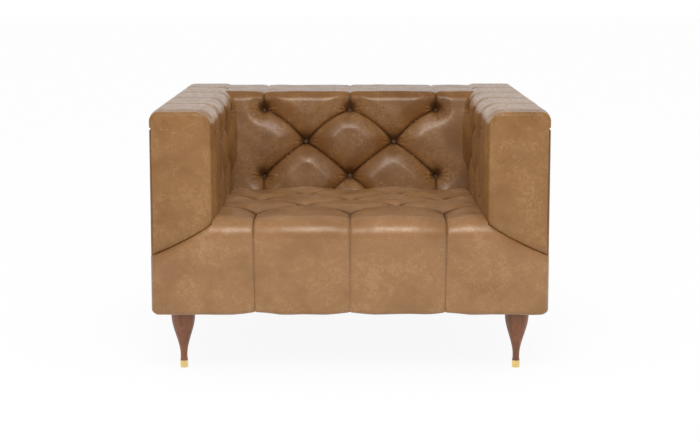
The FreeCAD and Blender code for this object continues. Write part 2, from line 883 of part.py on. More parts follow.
def save(name, shapes):
    """One STEP file for a node. A list is a group of separate solids."""
    if isinstance(shapes, list):
        solids = [solid for shape in shapes for solid in shape.Solids]
        shape = Part.makeCompound(solids)
    else:
        shape = shapes
    shape.exportStep("parts/" + name + ".step")
    state = "valid" if shape.isValid() else "INVALID"
    print(name, len(shape.Solids), "solids", round(shape.Volume), "mm3", state)


def save_pair(name, shapes):
    """The left-hand piece, on the +X side, and its mirror image on the right."""
    if isinstance(shapes, list):
        save("left_" + name, shapes)
        save("right_" + name, [mirrored(shape) for shape in shapes])
    else:
        save("left_" + name, shapes)
        save("right_" + name, mirrored(shapes))


def save_base():
    front_span, back_span, spring_span = cross_rail_spans()
    save_pair("side_rail", side_rail())
    save("front_rail", cross_rail(front_span))
    save("back_rail", cross_rail(back_span))
    save("spring_rail", cross_rail(spring_span))
    save("rail_dowels", rail_dowels())
    blocks = [leg_block(place) for place in leg_places()]
    save("leg_blocks", blocks + [mirrored(solid) for solid in blocks])
    save("dust_cover", dust_cover())


def save_legs():
    bolts = []
    nuts = []
    for place, (x, y) in leg_places().items():
        save_pair(place + "_leg", leg(x, y))
        save_pair(place + "_ferrule", ferrule(x, y))
        bolts += [hanger_bolt(x, y), hanger_bolt(-x, y)]
        nuts += [tee_nut(x, y), tee_nut(-x, y)]
    save("leg_bolts", bolts)
    save("leg_tee_nuts", nuts)


def save_seat():
    springs = []
    clips = []
    for x in spring_columns():
        spring, front_y, rear_y = seat_spring(x)
        springs.append(spring)
        clips += [spring_clip(x, front_y, -1), spring_clip(x, rear_y, 1)]
    save("seat_springs", springs)
    save("spring_clips", clips)
    save("seat_foam", seat_foam())
    save("border_foam", border_foam())
    save("seat_cover", seat_cover())
    save_pair("inner_border_panel", border_panel((seam_gap / 2, border_seam_x - seam_gap / 2)))
    save_pair("outer_border_panel", border_panel((border_seam_x + seam_gap / 2, half_width)))
    tufts = seat_tufts()
    save("seat_buttons", buttons(tufts, seat_button_radius, seat_button_height, seat_button_edge_radius))


def save_arms():
    save_pair("arm_board", arm_front_board())
    save_pair("arm_posts", arm_posts())
    save_pair("arm_top_board", arm_top_board())
    tack_rail = arm_tack_rail()
    save("arm_tack_rails", [tack_rail, mirrored(tack_rail)])
    save_pair("arm_foam", arm_foam())
    save_pair("arm_cover", arm_inside_cover())
    save_pair("arm_facing", arm_facing(0, (facing_y, facing_y + leather_thickness), seam_gap))
    save_pair("outside_arm_cover", outside_arm_cover())
    save_pair("arm_buttons", buttons(arm_tufts(), button_radius, button_height, button_edge_radius))
    pad = arm_facing(leather_thickness, (facing_y + leather_thickness, frame_front_y), seam_gap)
    save("facing_pads", [pad, mirrored(pad)])


def save_back():
    board = back_side_board()
    save("back_side_boards", [board, mirrored(board)])
    save("rear_top_rail", rear_top_rail())
    save("front_top_rail", front_top_rail())
    save("back_tack_rail", back_tack_rail())
    save("back_foam", back_foam())
    save("inside_back_cover", inside_back_cover())
    save("outside_back_cover", outside_back_cover())
    save("outside_wadding", outside_wadding())
    save("back_buttons", buttons(back_tufts(), button_radius, button_height, button_edge_radius))


def save_tufting():
    """Burlap, webbing, twine and toggles of the arms and the back, and the seat's twine."""
    arm_twines = twines(arm_tufts(), arm_twine_length)
    arm_toggles = toggles(arm_tufts(), arm_twine_length, vector(0, 1, 0))
    back_toggles = toggles(back_tufts(), back_twine_length, vector(1, 0, 0))
    seat_toggles = toggles(seat_tufts(), seat_twine_length, vector(0, 1, 0))
    burlap = arm_burlap()
    straps = arm_webbing()
    save("burlap", [seat_burlap(), back_burlap(), burlap, mirrored(burlap)])
    save("webbing", back_webbing() + straps + [mirrored(strap) for strap in straps])
    twine = twines(back_tufts(), back_twine_length) + twines(seat_tufts(), seat_twine_length)
    save("button_twines", twine + arm_twines + [mirrored(strand) for strand in arm_twines])
    bars = back_toggles + seat_toggles + arm_toggles
    save("twine_toggles", bars + [mirrored(bar) for bar in arm_toggles])


os.makedirs("parts", exist_ok=True)
save_base()
save_legs()
save_seat()
save_arms()
save_back()
save_tufting()
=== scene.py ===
"""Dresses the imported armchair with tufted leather, turned walnut and brass in a plain studio."""
import json
import logging
import math
from dataclasses import dataclass
from enum import Enum
from typing import Callable, Sequence

import bmesh
import bpy
import numpy as np
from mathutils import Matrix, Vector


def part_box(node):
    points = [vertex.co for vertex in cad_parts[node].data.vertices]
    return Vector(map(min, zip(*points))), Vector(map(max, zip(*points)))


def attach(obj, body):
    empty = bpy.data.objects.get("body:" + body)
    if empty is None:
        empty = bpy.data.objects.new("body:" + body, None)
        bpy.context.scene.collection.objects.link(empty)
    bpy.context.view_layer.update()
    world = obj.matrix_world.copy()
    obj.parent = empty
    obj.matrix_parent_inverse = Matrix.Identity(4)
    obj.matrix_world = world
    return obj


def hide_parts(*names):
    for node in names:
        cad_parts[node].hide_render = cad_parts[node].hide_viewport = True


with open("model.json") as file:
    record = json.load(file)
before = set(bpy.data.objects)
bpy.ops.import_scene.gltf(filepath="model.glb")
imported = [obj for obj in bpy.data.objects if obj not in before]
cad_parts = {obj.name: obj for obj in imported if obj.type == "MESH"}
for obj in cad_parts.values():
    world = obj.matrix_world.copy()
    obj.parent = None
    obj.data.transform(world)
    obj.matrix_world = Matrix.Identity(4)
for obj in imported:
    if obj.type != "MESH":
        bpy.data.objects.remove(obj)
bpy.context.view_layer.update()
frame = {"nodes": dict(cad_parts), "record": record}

log = logging.getLogger("armchair")
logging.basicConfig(level=logging.INFO, format="%(name)s: %(message)s")

MILLIMETRE = 0.001
# Differences below this are rounding, of places in metres and of angles in radians
TINY = 1e-6
# How far a vertex's stored place may be from the place it was given
NEARBY = 1e-5
# How far in front of the outside back's face the covers of the back and the arms end
REAR_SKIN = 0.0015
# How far the inside back leans
RECLINE_DEGREES = 13.0

Array = np.ndarray
Point = tuple[float, float]
Corner = tuple[float, float, float]
Color = tuple[float, float, float]


class Side(Enum):
    """Which of the sitter's sides a piece is on, and the sign of its X."""

    LEFT = 1
    RIGHT = -1

    @property
    def word(self) -> str:
        """Word that starts the names of pieces on this side."""
        return self.name.lower()


class Plane(Enum):
    """Plane that a flat panel lies in: its two axes and the axis that it faces along."""

    FRONT = (0, 2, 1)
    SIDE = (1, 2, 0)


class Slot(Enum):
    """Material slots of the record."""

    LEATHER = "leather"


# Sizes read from the frame


@dataclass(frozen=True)
class Body:
    """The chair's main planes, in metres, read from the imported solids."""

    half_width: float
    arm_inside_x: float
    facing_y: float
    arm_top_z: float
    border_y: float
    underside_z: float
    inner_half_width: float
    back_y: float
    back_top_z: float
    tuck_z: float
    back_foot_y: float
    seat_z: float
    seat_foot_z: float
    outside_seam_z: float
    frame_side_x: float
    frame_front_y: float
    frame_bottom_z: float
    recline: float

    @classmethod
    def from_frame(cls) -> "Body":
        """Reads the planes from the boxes of the nodes that carry them.

        Returns:
            The chair's planes.
        """
        facing_low, facing_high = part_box("left_arm_facing")
        panel_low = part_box("left_inner_border_panel")[0]
        cover_low, cover_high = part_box("inside_back_cover")
        rail_low, rail_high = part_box("left_side_rail")
        return cls(
            half_width=facing_high[0],
            arm_inside_x=facing_low[0],
            facing_y=facing_low[1],
            arm_top_z=facing_high[2],
            border_y=panel_low[1],
            underside_z=panel_low[2],
            inner_half_width=cover_high[0],
            back_y=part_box("outside_back_cover")[1][1],
            back_top_z=cover_high[2],
            tuck_z=cover_low[2],
            back_foot_y=cover_low[1],
            seat_z=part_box("seat_cover")[1][2],
            seat_foot_z=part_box("seat_foam")[0][2],
            outside_seam_z=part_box("left_outside_arm_cover")[1][2],
            frame_side_x=rail_high[0],
            frame_front_y=rail_low[1],
            frame_bottom_z=rail_low[2],
            recline=math.radians(RECLINE_DEGREES),
        )

    def back_face_y(self, z: float, depth: float = 0.0) -> float:
        """Y of the plane a depth behind the face of the inside back, at a height."""
        leaning = (z - self.tuck_z) * math.tan(self.recline)
        return self.back_foot_y + leaning + depth / math.cos(self.recline)


BODY = Body.from_frame()


# Meshes and grids


def pick_nothing() -> None:
    """Leaves every object unselected, in object mode."""
    if bpy.context.mode != "OBJECT":
        bpy.ops.object.mode_set(mode="OBJECT")
    bpy.ops.object.select_all(action="DESELECT")


def pick(piece: bpy.types.Object) -> None:
    """Selects one object and makes it the active one.

    Args:
        piece: The object.
    """
    pick_nothing()
    piece.select_set(True)
    bpy.context.view_layer.objects.active = piece


def vertex_places(piece: bpy.types.Object) -> Array:
    """Places of a mesh's vertices, one row each.

    Args:
        piece: The object that holds the mesh.

    Returns:
        The places, in metres.
    """
    places = np.empty(len(piece.data.vertices) * 3)
    piece.data.vertices.foreach_get("co", places)
    return places.reshape(-1, 3)


def move_vertices(piece: bpy.types.Object, places: Array) -> None:
    """Puts a mesh's vertices at new places."""
    piece.data.vertices.foreach_set("co", places.ravel())
    piece.data.update()


def smooth(piece: bpy.types.Object, angle: float = 50.0) -> None:
    """Shades a piece smooth, apart from edges sharper than an angle in degrees."""
    pick(piece)
    bpy.ops.object.shade_smooth_by_angle(angle=math.radians(angle))


def triangles(piece: bpy.types.Object) -> int:
    """Number of triangles in a piece."""
    return sum(len(polygon.vertices) - 2 for polygon in piece.data.polygons)


def ease(values: Array, low: float, high: float) -> Array:
    """Smooth step from 0 at low to 1 at high."""
    x = np.clip((values - low) / (high - low), 0.0, 1.0)
    return x * x * (3.0 - 2.0 * x)


def rolled_edge(distance: Array, radius: float) -> Array:
    """Drop of a quarter-round edge at a distance from its end."""
    return radius * (1.0 - rounded(distance, radius))


def rounded(distance: Array, radius: float) -> Array:
    """Share of its full height that a rounded edge has at a distance from its end."""
    x = np.clip(1.0 - distance / radius, 0.0, 1.0)
    return np.sqrt(np.maximum(1.0 - x * x, 0.0))


def stations(low: float, high: float, step: float, edge_step: float, edge_width: float) -> Array:
    """Places along a side of a grid, closer together near both ends.

    Args:
        low: First place.
        high: Last place.
        step: Spacing away from the ends.
        edge_step: Spacing near the ends.
        edge_width: Width of the closer spacing.

    Returns:
        The places in order.
    """
    edge_count = round(edge_width / edge_step)
    middle_count = max(2, round((high - low - 2 * edge_width) / step))
    first = np.linspace(low, low + edge_width, edge_count + 1)
    middle = np.linspace(low + edge_width, high - edge_width, middle_count + 1)
    last = np.linspace(high - edge_width, high, edge_count + 1)
    return np.concatenate([first[:-1], middle, last[1:]])


@dataclass(frozen=True)
class Unevenness:
    """Slow hills and hollows of a hand-filled pad, as a sum of seeded waves."""

    seed: int
    longest: float = 0.16
    shortest: float = 0.05
    waves: int = 14

    def height(self, s: Array, t: Array) -> Array:
        """Height between about -1 and 1 at places along and across the leather.

        Args:
            s: Places across the leather.
            t: Places along it.

        Returns:
            The height of each place, without a unit.
        """
        dice = np.random.default_rng(self.seed)
        total = np.zeros_like(s)
        for _ in range(self.waves):
            length = dice.uniform(self.shortest, self.longest)
            heading = dice.uniform(0.0, 2.0 * math.pi)
            phase = dice.uniform(0.0, 2.0 * math.pi)
            along = s * math.cos(heading) + t * math.sin(heading)
            total += np.sin(2.0 * math.pi * along / length + phase) * (length / self.longest)
        return total / math.sqrt(self.waves)


@dataclass(frozen=True)
class Profile:
    """Path of straight runs and rounded corners in a plane, measured along its length.

    The outward side of the path is on its left.
    """

    corners: Sequence[Corner]
    fineness: float = 0.8 * MILLIMETRE

    def traced(self) -> tuple[Array, Array, Array]:
        """Points along the path.

        Returns:
            Distance along the path, place and outward normal of each point.
        """
        places: list[Point] = []
        normals: list[Point] = []
        for index, (a, b, radius) in enumerate(self.corners):
            way_in = self._way(index - 1) if index > 0 else self._way(0)
            way_out = self._way(index) if index < len(self.corners) - 1 else way_in
            turn = math.remainder(way_out - way_in, 2.0 * math.pi)
            if radius <= 0.0 or abs(turn) < TINY:
                places += [(a, b), (a, b)]
                normals += [(-math.sin(way), math.cos(way)) for way in (way_in, way_out)]
                continue
            run = radius * math.tan(abs(turn) / 2.0)
            start = (a - run * math.cos(way_in), b - run * math.sin(way_in))
            bend = math.copysign(1.0, turn)
            centre = (
                start[0] - bend * radius * math.sin(way_in),
                start[1] + bend * radius * math.cos(way_in),
            )
            count = max(4, math.ceil(radius * abs(turn) / self.fineness))
            for step in range(count + 1):
                way = way_in + turn * step / count
                normal = (-math.sin(way), math.cos(way))
                places.append(
                    (centre[0] - bend * radius * normal[0], centre[1] - bend * radius * normal[1])
                )
                normals.append(normal)
        place = np.array(places)
        lengths = np.hypot(*np.diff(place, axis=0).T)
        return np.concatenate([[0.0], np.cumsum(lengths)]), place, np.array(normals)

    def _way(self, index: int) -> float:
        """Heading of the straight run that leaves a corner."""
        here, there = self.corners[index], self.corners[index + 1]
        return math.atan2(there[1] - here[1], there[0] - here[0])

    def length(self) -> float:
        """Length of the whole path."""
        return float(self.traced()[0][-1])

    def at(self, t: Array) -> tuple[Array, Array]:
        """Place and outward normal at distances along the path.

        Args:
            t: The distances.

        Returns:
            The places and the normals, one row each.
        """
        distance, place, normal = self.traced()
        distance = distance + np.arange(len(distance)) * 1e-9
        points = np.stack([np.interp(t, distance, place[:, axis]) for axis in (0, 1)], axis=-1)
        ways = np.stack([np.interp(t, distance, normal[:, axis]) for axis in (0, 1)], axis=-1)
        return points, ways / np.linalg.norm(ways, axis=-1, keepdims=True)

    def distance_at(self, axis: int, value: float, stretch: int = 0) -> float:
        """Distance along the path at which one of its coordinates passes a value.

        Args:
            axis: Which coordinate, 0 or 1.
            value: The value to find.
            stretch: Which crossing, counted from the start.

        Returns:
            The distance along the path.
        """
        distance, place, _ = self.traced()
        offset = place[:, axis] - value
        crossings = np.nonzero(np.diff(np.signbit(offset)))[0]
        low = crossings[stretch]
        share = offset[low] / (offset[low] - offset[low + 1])
        return float(distance[low] + share * (distance[low + 1] - distance[low]))


# Tufting


@dataclass(frozen=True)
class FoldForm:
    """How deep and how wide a crease or pleat is, and how far it bows."""

    start_depth: float
    middle_depth: float
    end_depth: float
    bow: float = 0.0
    broad_width: float = 0.085
    broad_share: float = 0.78
    lip_width: float = 0.0070
    power: float = 2.1
    line: float = 0.0


@dataclass(frozen=True)
class Fold:
    """Crease or pleat that runs from one point of the leather to another."""

    start: Point
    end: Point
    form: FoldForm
    pieces: int = 14

    def nearest(self, s: Array, t: Array) -> tuple[Array, Array]:
        """Distance to the fold, and how far along it the nearest point is, from 0 to 1.

        Args:
            s: Places across the leather.
            t: Places along it.

        Returns:
            The distance and the share of the fold's length, for each place.
        """
        share = np.linspace(0.0, 1.0, self.pieces + 1)
        start, end = np.array(self.start), np.array(self.end)
        middle = (start + end) / 2.0 + np.array([0.0, 2.0 * self.form.bow])
        curve = (
            np.outer((1.0 - share) ** 2, start)
            + np.outer(2.0 * share * (1.0 - share), middle)
            + np.outer(share**2, end)
        )
        best = np.full(s.shape, np.inf)
        along = np.zeros(s.shape)
        for index, (low, high) in enumerate(zip(curve, curve[1:])):
            way = high - low
            reach = float(way @ way)
            part = np.clip(((s - low[0]) * way[0] + (t - low[1]) * way[1]) / reach, 0.0, 1.0)
            distance = np.hypot(s - low[0] - part * way[0], t - low[1] - part * way[1])
            closer = distance < best
            best = np.where(closer, distance, best)
            along = np.where(closer, (index + part) / self.pieces, along)
        return best, along

    def depth(self, along: Array) -> Array:
        """Depth of the fold along its length.

        Args:
            along: Shares of the fold's length, from 0 to 1.

        Returns:
            The depth at each share.
        """
        first = np.clip(1.0 - 2.0 * along, 0.0, 1.0) ** 2
        last = np.clip(2.0 * along - 1.0, 0.0, 1.0) ** 2
        rest = 1.0 - first - last
        form = self.form
        return form.start_depth * first + form.middle_depth * rest + form.end_depth * last


@dataclass(frozen=True)
class Tuft:
    """Point where a button pulls the leather in."""

    place: Point
    depth: float = 0.036
    radius: float = 0.056
    ripple: float = 0.0020
    shade: float = 0.90

    def gathers(self, across: Array, up: Array) -> Array:
        """Small pleats that fan out to both sides of the button.

        Args:
            across: Distances from the button across the leather.
            up: Distances from it along the leather.

        Returns:
            Height of the pleats, over and under the leather's own.
        """
        pleats_per_radian, fan, uneven = 15.0, 0.62, 1.1
        reach = np.hypot(across, up)
        heading = np.arctan2(up, np.abs(across))
        sideways = np.exp(-((heading / fan) ** 2))
        ring = ease(reach, 0.007, 0.014) * (1.0 - ease(reach, 0.022, 0.046))
        wave = np.sin(pleats_per_radian * heading + uneven * np.sign(across))
        return self.ripple * wave * sideways * ring

    def shadow(self, across: Array, up: Array) -> Array:
        """Shade of the steep leather above the button, from 0 to 1.

        Args:
            across: Distances from the button across the leather.
            up: Distances from it along the leather.

        Returns:
            The shade at each place.
        """
        narrow, spread, height = 0.012, 0.70, 0.036
        width = narrow + spread * np.maximum(up, 0.0)
        above = np.exp(-((across / width) ** 2) - (up / height) ** 2)
        return self.shade * above * ease(up, -0.008, 0.010)


@dataclass(frozen=True)
class Tufting:
    """Relief of buttoned leather: pillows between folds, drawn in at the tufts, with a fold value that
    carries painted shade.
    """

    folds: Sequence[Fold]
    tufts: Sequence[Tuft]
    crown: float
    unevenness: Unevenness
    uneven_height: float = 0.0012
    blend: float = 0.004
    # Painted shade along the deep valleys between pillows: its strength, its width, and the fold depth at
    # which it starts
    painted_valley_shade: float = 0.0
    valley_shade_width: float = 0.016
    valley_shade_start: float = 0.006
    line_width: float = 0.0035
    full_crease: float = 5.0 * MILLIMETRE
    joining: float = 2.6

    def relief(self, s: Array, t: Array) -> tuple[Array, Array]:
        """Height of the leather and how deep in a fold it lies.

        Args:
            s: Places across the leather.
            t: Places along it.

        Returns:
            Height over the profile, and a fold value from 0 on the pillows to 1 in the folds and painted
            shade.
        """
        broad = np.zeros_like(s)
        lips = np.zeros_like(s)
        painted_valley_shades = np.zeros_like(s)
        lines = np.zeros_like(s)
        for fold in self.folds:
            form = fold.form
            distance, along = fold.nearest(s, t)
            depth = fold.depth(along)
            slope = np.clip(1.0 - distance / form.broad_width, 0.0, 1.0) ** form.power
            broad += (form.broad_share * depth * slope) ** self.joining
            lip = np.clip(1.0 - distance / form.lip_width, 0.0, 1.0) ** 1.8
            lips = np.maximum(lips, (1.0 - form.broad_share) * depth * lip)
            lines = np.maximum(lines, form.line * np.clip(1.0 - distance / self.line_width, 0.0, 1.0))
            # Painted shade in a band along each valley, only where the fold is deep
            hollow = np.clip(1.0 - distance / self.valley_shade_width, 0.0, 1.0) ** 2
            deep = np.clip(depth / self.valley_shade_start - 2.0, 0.0, 1.0)
            painted_valley_shades = np.maximum(painted_valley_shades, self.painted_valley_shade * hollow * deep)
        broad = broad ** (1.0 / self.joining)
        ripples = np.zeros_like(s)
        tuft_hollow_shade = np.zeros_like(s)
        shades = np.zeros_like(s)
        for tuft in self.tufts:
            across, up = s - tuft.place[0], t - tuft.place[1]
            reach = np.hypot(across, up)
            slope = np.clip(1.0 - reach / tuft.radius, 0.0, 1.0) ** 2.0
            broad = self._deeper(broad, tuft.depth * slope)
            # Painted shade in the hollow round each tuft, darkest at the button
            tuft_hollow_shade = np.maximum(tuft_hollow_shade, np.clip(1.0 - reach / (0.5 * tuft.radius), 0.0, 1.0))
            shades = np.maximum(shades, tuft.shadow(across, up))
            ripples += tuft.gathers(across, up)
        height = self.crown - broad - lips + ripples
        calm = 1.0 - np.clip(broad / (3.0 * self.crown), 0.0, 1.0)
        height = height + self.uneven_height * self.unevenness.height(s, t) * calm
        # Darkening in the creases, partly the dirt that gathers there and partly painted shade; the seam
        # lines are dark stitching
        creases = np.maximum(np.clip(lips / self.full_crease, 0.0, 1.0) ** 1.8, lines)
        # Fold value for the colour: crease darkening, plus painted shade along the valleys, in the tuft
        # hollows and above the buttons
        crease_and_painted_shade = np.clip(np.maximum(creases + painted_valley_shades, tuft_hollow_shade**1.2) + shades, 0.0, 1.0)
        return height, crease_and_painted_shade

    def _deeper(self, first: Array, second: Array) -> Array:
        """The deeper of two reliefs, with the step between them rounded."""
        half_gap = np.maximum(self.blend - np.abs(first - second), 0.0) / self.blend
        return np.maximum(first, second) + half_gap * half_gap * self.blend / 4.0


# Leather skins laid along a profile


@dataclass
class Skin:
    """Padded leather laid along a profile and closed round its filling."""

    name: str
    profile: Profile
    across: Array
    along: Array

    def laid(self, place: Callable[[Array, Array], tuple[Array, Array]]) -> bpy.types.Object:
        """Makes the grid and puts each vertex in place.

        Args:
            place: Gives the vertices' places and fold values, painted shade among them, from their
                distances across and along.

        Returns:
            The open skin, with its fold values and painted shade in an attribute.
        """
        pick_nothing()
        columns, rows = len(self.across) - 1, len(self.along) - 1
        bpy.ops.mesh.primitive_grid_add(x_subdivisions=columns, y_subdivisions=rows, size=1.0)
        piece = bpy.context.active_object
        piece.name = piece.data.name = self.name
        grid = vertex_places(piece)
        column = np.rint((grid[:, 0] + 0.5) * columns).astype(int)
        row = np.rint((grid[:, 1] + 0.5) * rows).astype(int)
        places, folds = place(self.across[column], self.along[row])
        move_vertices(piece, places)
        # The fold attribute darkens the leather: crease dirt, stitch lines and painted shade
        attribute = piece.data.attributes.new("fold", "FLOAT", "POINT")
        attribute.data.foreach_set("value", folds)
        return piece

    @staticmethod
    def closed(piece: bpy.types.Object) -> None:
        """Joins the two ends of the profile and closes both ends of the piece.

        Args:
            piece: The open skin.
        """
        pick(piece)
        bpy.ops.object.mode_set(mode="EDIT")
        bpy.ops.mesh.select_all(action="SELECT")
        bpy.ops.mesh.remove_doubles(threshold=2e-5)
        bpy.ops.mesh.select_all(action="SELECT")
        bpy.ops.mesh.fill_holes(sides=0)
        bpy.ops.mesh.select_all(action="SELECT")
        bpy.ops.mesh.normals_make_consistent(inside=False)
        bpy.ops.object.mode_set(mode="OBJECT")


def profile_rows(profile: Profile, shown: float, first: float, step: float) -> Array:
    """Rows along a closed profile, close together where the leather shows and coarse behind.

    Args:
        profile: The closed profile.
        shown: Distance along the profile at which the shown leather ends.
        first: Distance at which it starts.
        step: Spacing where it shows.

    Returns:
        Distances along the profile, from 0 to its length.
    """
    distance, place, _ = profile.traced()
    corners = distance[1:][np.diff(distance) < 1e-7]
    hidden = [float(d) for d in corners if d > shown + 1e-4 or d < first - 1e-4]
    shown_rows = np.linspace(first, shown, max(2, round((shown - first) / step)) + 1)
    ends = [0.0, float(distance[-1])]
    return np.unique(np.round(np.concatenate([shown_rows, hidden, ends]), 7))


# Sub-assemblies in leather


def dress(piece: bpy.types.Object, finish: "LeatherFinish", fill: float, *nodes: str) -> bpy.types.Object:
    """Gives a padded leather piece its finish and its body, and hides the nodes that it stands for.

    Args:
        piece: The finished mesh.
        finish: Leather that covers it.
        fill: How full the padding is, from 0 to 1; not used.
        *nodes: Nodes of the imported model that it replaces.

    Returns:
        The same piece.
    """
    piece.data.materials.clear()
    piece.data.materials.append(finish.material())
    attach(piece, "root")
    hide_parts(*nodes)
    return piece


def flared(places: Array) -> Array:
    """Spreads the foot of the chair's sides a little and rounds it under, as its stretched leather does.

    Args:
        places: Places of the leather's vertices, which are changed.

    Returns:
        The same places.
    """
    spread, tuck_radius, tuck_share = 0.004, 0.013, 0.75
    height = BODY.outside_seam_z - BODY.underside_z
    rise = np.clip((BODY.outside_seam_z - places[:, 2]) / height, 0.0, 1.0)
    share = (np.abs(places[:, 0]) / BODY.half_width) ** 6
    tucked = rolled_edge(places[:, 2] - BODY.underside_z, tuck_radius) * tuck_share
    places[:, 0] += np.sign(places[:, 0]) * (spread * rise - tucked) * share
    return places


@dataclass
class TuftedBack:
    """Inside back: buttoned in diamonds, wrapped over the top to the rear seam."""

    finish: "LeatherFinish"
    row_heights: tuple[float, float, float] = (0.660, 0.564, 0.460)
    outer_column: float = 0.266
    middle_column: float = 0.1365
    button_depth: float = 0.034
    foam_thickness: float = 0.098
    top_radius: float = 0.034
    edge_radius: float = 0.008
    seam_drop: float = 0.0075
    seam_roll: float = 0.004
    end_roll: float = 0.007
    arm_radius: float = 0.038
    arm_lift: float = 0.034
    end_width: float = 0.05
    rise_from_tuck: float = 0.09
    sink_from_tuck: float = 0.03
    step: float = 0.0028
    end_step: float = 0.0012
    end_steps_width: float = 0.016
    crown: float = 0.006
    upper_fold: FoldForm = FoldForm(0.030, 0.024, 0.032, bow=0.014)
    lower_fold: FoldForm = FoldForm(0.032, 0.025, 0.032, bow=0.005)
    top_pleat: FoldForm = FoldForm(0.016, 0.0080, 0.0075, 0.0, 0.080, 0.60, 0.006)
    low_pleat: FoldForm = FoldForm(0.020, 0.015, 0.010, 0.0, 0.045, 0.65, 0.006)
    centre_pleat: FoldForm = FoldForm(0.026, 0.020, 0.012, bow=0.010, broad_width=0.05)

    def profile(self) -> Profile:
        """Section through the pad, seen from the side, closed behind its foam.

        Returns:
            The section.
        """
        top, rear = BODY.back_top_z, BODY.back_y - REAR_SKIN
        seam_z = top - self.seam_drop - self.edge_radius
        core_top, core_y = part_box("rear_top_rail")[1][2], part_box("rear_top_rail")[1][1]
        foot = (BODY.back_face_y(BODY.tuck_z), BODY.tuck_z, 0.0)
        return Profile(
            [
                foot,
                (BODY.back_face_y(top), top, self.top_radius),
                (rear, top, self.edge_radius),
                (rear, seam_z, 0.0),
                (core_y, seam_z, 0.0),
                (core_y, core_top, 0.0),
                (BODY.back_face_y(core_top, self.foam_thickness), core_top, 0.0),
                (BODY.back_face_y(BODY.tuck_z, self.foam_thickness), BODY.tuck_z, 0.0),
                foot,
            ]
        )

    def on_face(self, x: float, z: float) -> Point:
        """Place on the leather straight in front of a button."""
        lifted = z + self.button_depth * math.sin(BODY.recline)
        return x, (lifted - BODY.tuck_z) / math.cos(BODY.recline)

    def tufting(self, shown: float) -> Tufting:
        """Folds and tufts of the inside back.

        Args:
            shown: Distance along the profile at which the leather ends.

        Returns:
            The tufting.
        """
        first, second, third = self.row_heights
        folds: list[Fold] = []
        tufts: list[Tuft] = []
        for x in (-self.outer_column, 0.0, self.outer_column):
            tufts += [Tuft(self.on_face(x, first)), Tuft(self.on_face(x, third))]
            folds.append(Fold(self.on_face(x, first), (x, shown), self.top_pleat))
            for middle in (-self.middle_column, self.middle_column):
                if abs(x - middle) < 2.0 * self.middle_column:
                    low = self.on_face(middle, second)
                    folds.append(Fold(self.on_face(x, first), low, self.upper_fold))
                    folds.append(Fold(low, self.on_face(x, third), self.lower_fold))
        for side in (-1.0, 1.0):
            tufts.append(Tuft(self.on_face(side * self.middle_column, second)))
            outer = self.on_face(side * self.outer_column, third)
            folds.append(Fold(outer, (outer[0], 0.0), self.low_pleat))
            centre = self.on_face(0.0, third)
            folds.append(Fold(centre, (side * self.middle_column, 0.0), self.centre_pleat))
        # The back's valleys get a weak painted shade
        return Tufting(folds, tufts, self.crown, Unevenness(seed=11), painted_valley_shade=0.12)

    def build(self) -> bpy.types.Object:
        """Makes and dresses the pad.

        Returns:
            The finished pad.
        """
        profile = self.profile()
        shown = profile.distance_at(1, BODY.back_top_z - self.seam_drop, 1)
        tufting = self.tufting(shown)
        end = BODY.inner_half_width
        across = stations(-end, end, self.step, self.end_step, self.end_steps_width)
        along = profile_rows(profile, shown, 0.0, self.step)

        def place(s: Array, t: Array) -> tuple[Array, Array]:
            """Puts the leather's grid in place.

            Args:
                s: Distances across the chair.
                t: Distances along the profile.

            Returns:
                The vertices' places and their fold values, painted shade among them.
            """
            point, normal = profile.at(t)
            height, folds = tufting.relief(s, t)
            visible = t <= shown + TINY
            height -= rolled_edge(end - np.abs(s), self.end_roll)
            rise, sink = ease(t, 0.0, self.rise_from_tuck), ease(t, 0.0, self.sink_from_tuck)
            height = np.where(visible, height * np.where(height > 0.0, rise, sink), 0.0)
            height -= np.where(visible, rolled_edge(shown - t, self.seam_roll), 0.0)
            y = point[:, 0] + normal[:, 0] * height
            z = point[:, 1] + normal[:, 1] * height
            places = np.stack([s, y, z], -1)
            near_end = ease(np.abs(s), end - self.end_width, end) * visible
            lift = np.clip(z - (BODY.arm_top_z - self.arm_radius), 0.0, self.arm_lift)
            spread = self.arm_radius - np.sqrt(self.arm_radius**2 - lift**2)
            places[:, 0] += np.sign(s) * spread * near_end
            return places, np.where(visible, folds, 0.0)

        piece = Skin("tufted_back", profile, across, along).laid(place)
        Skin.closed(piece)
        smooth(piece)
        return dress(piece, self.finish, 0.8, "inside_back_cover", "back_foam")


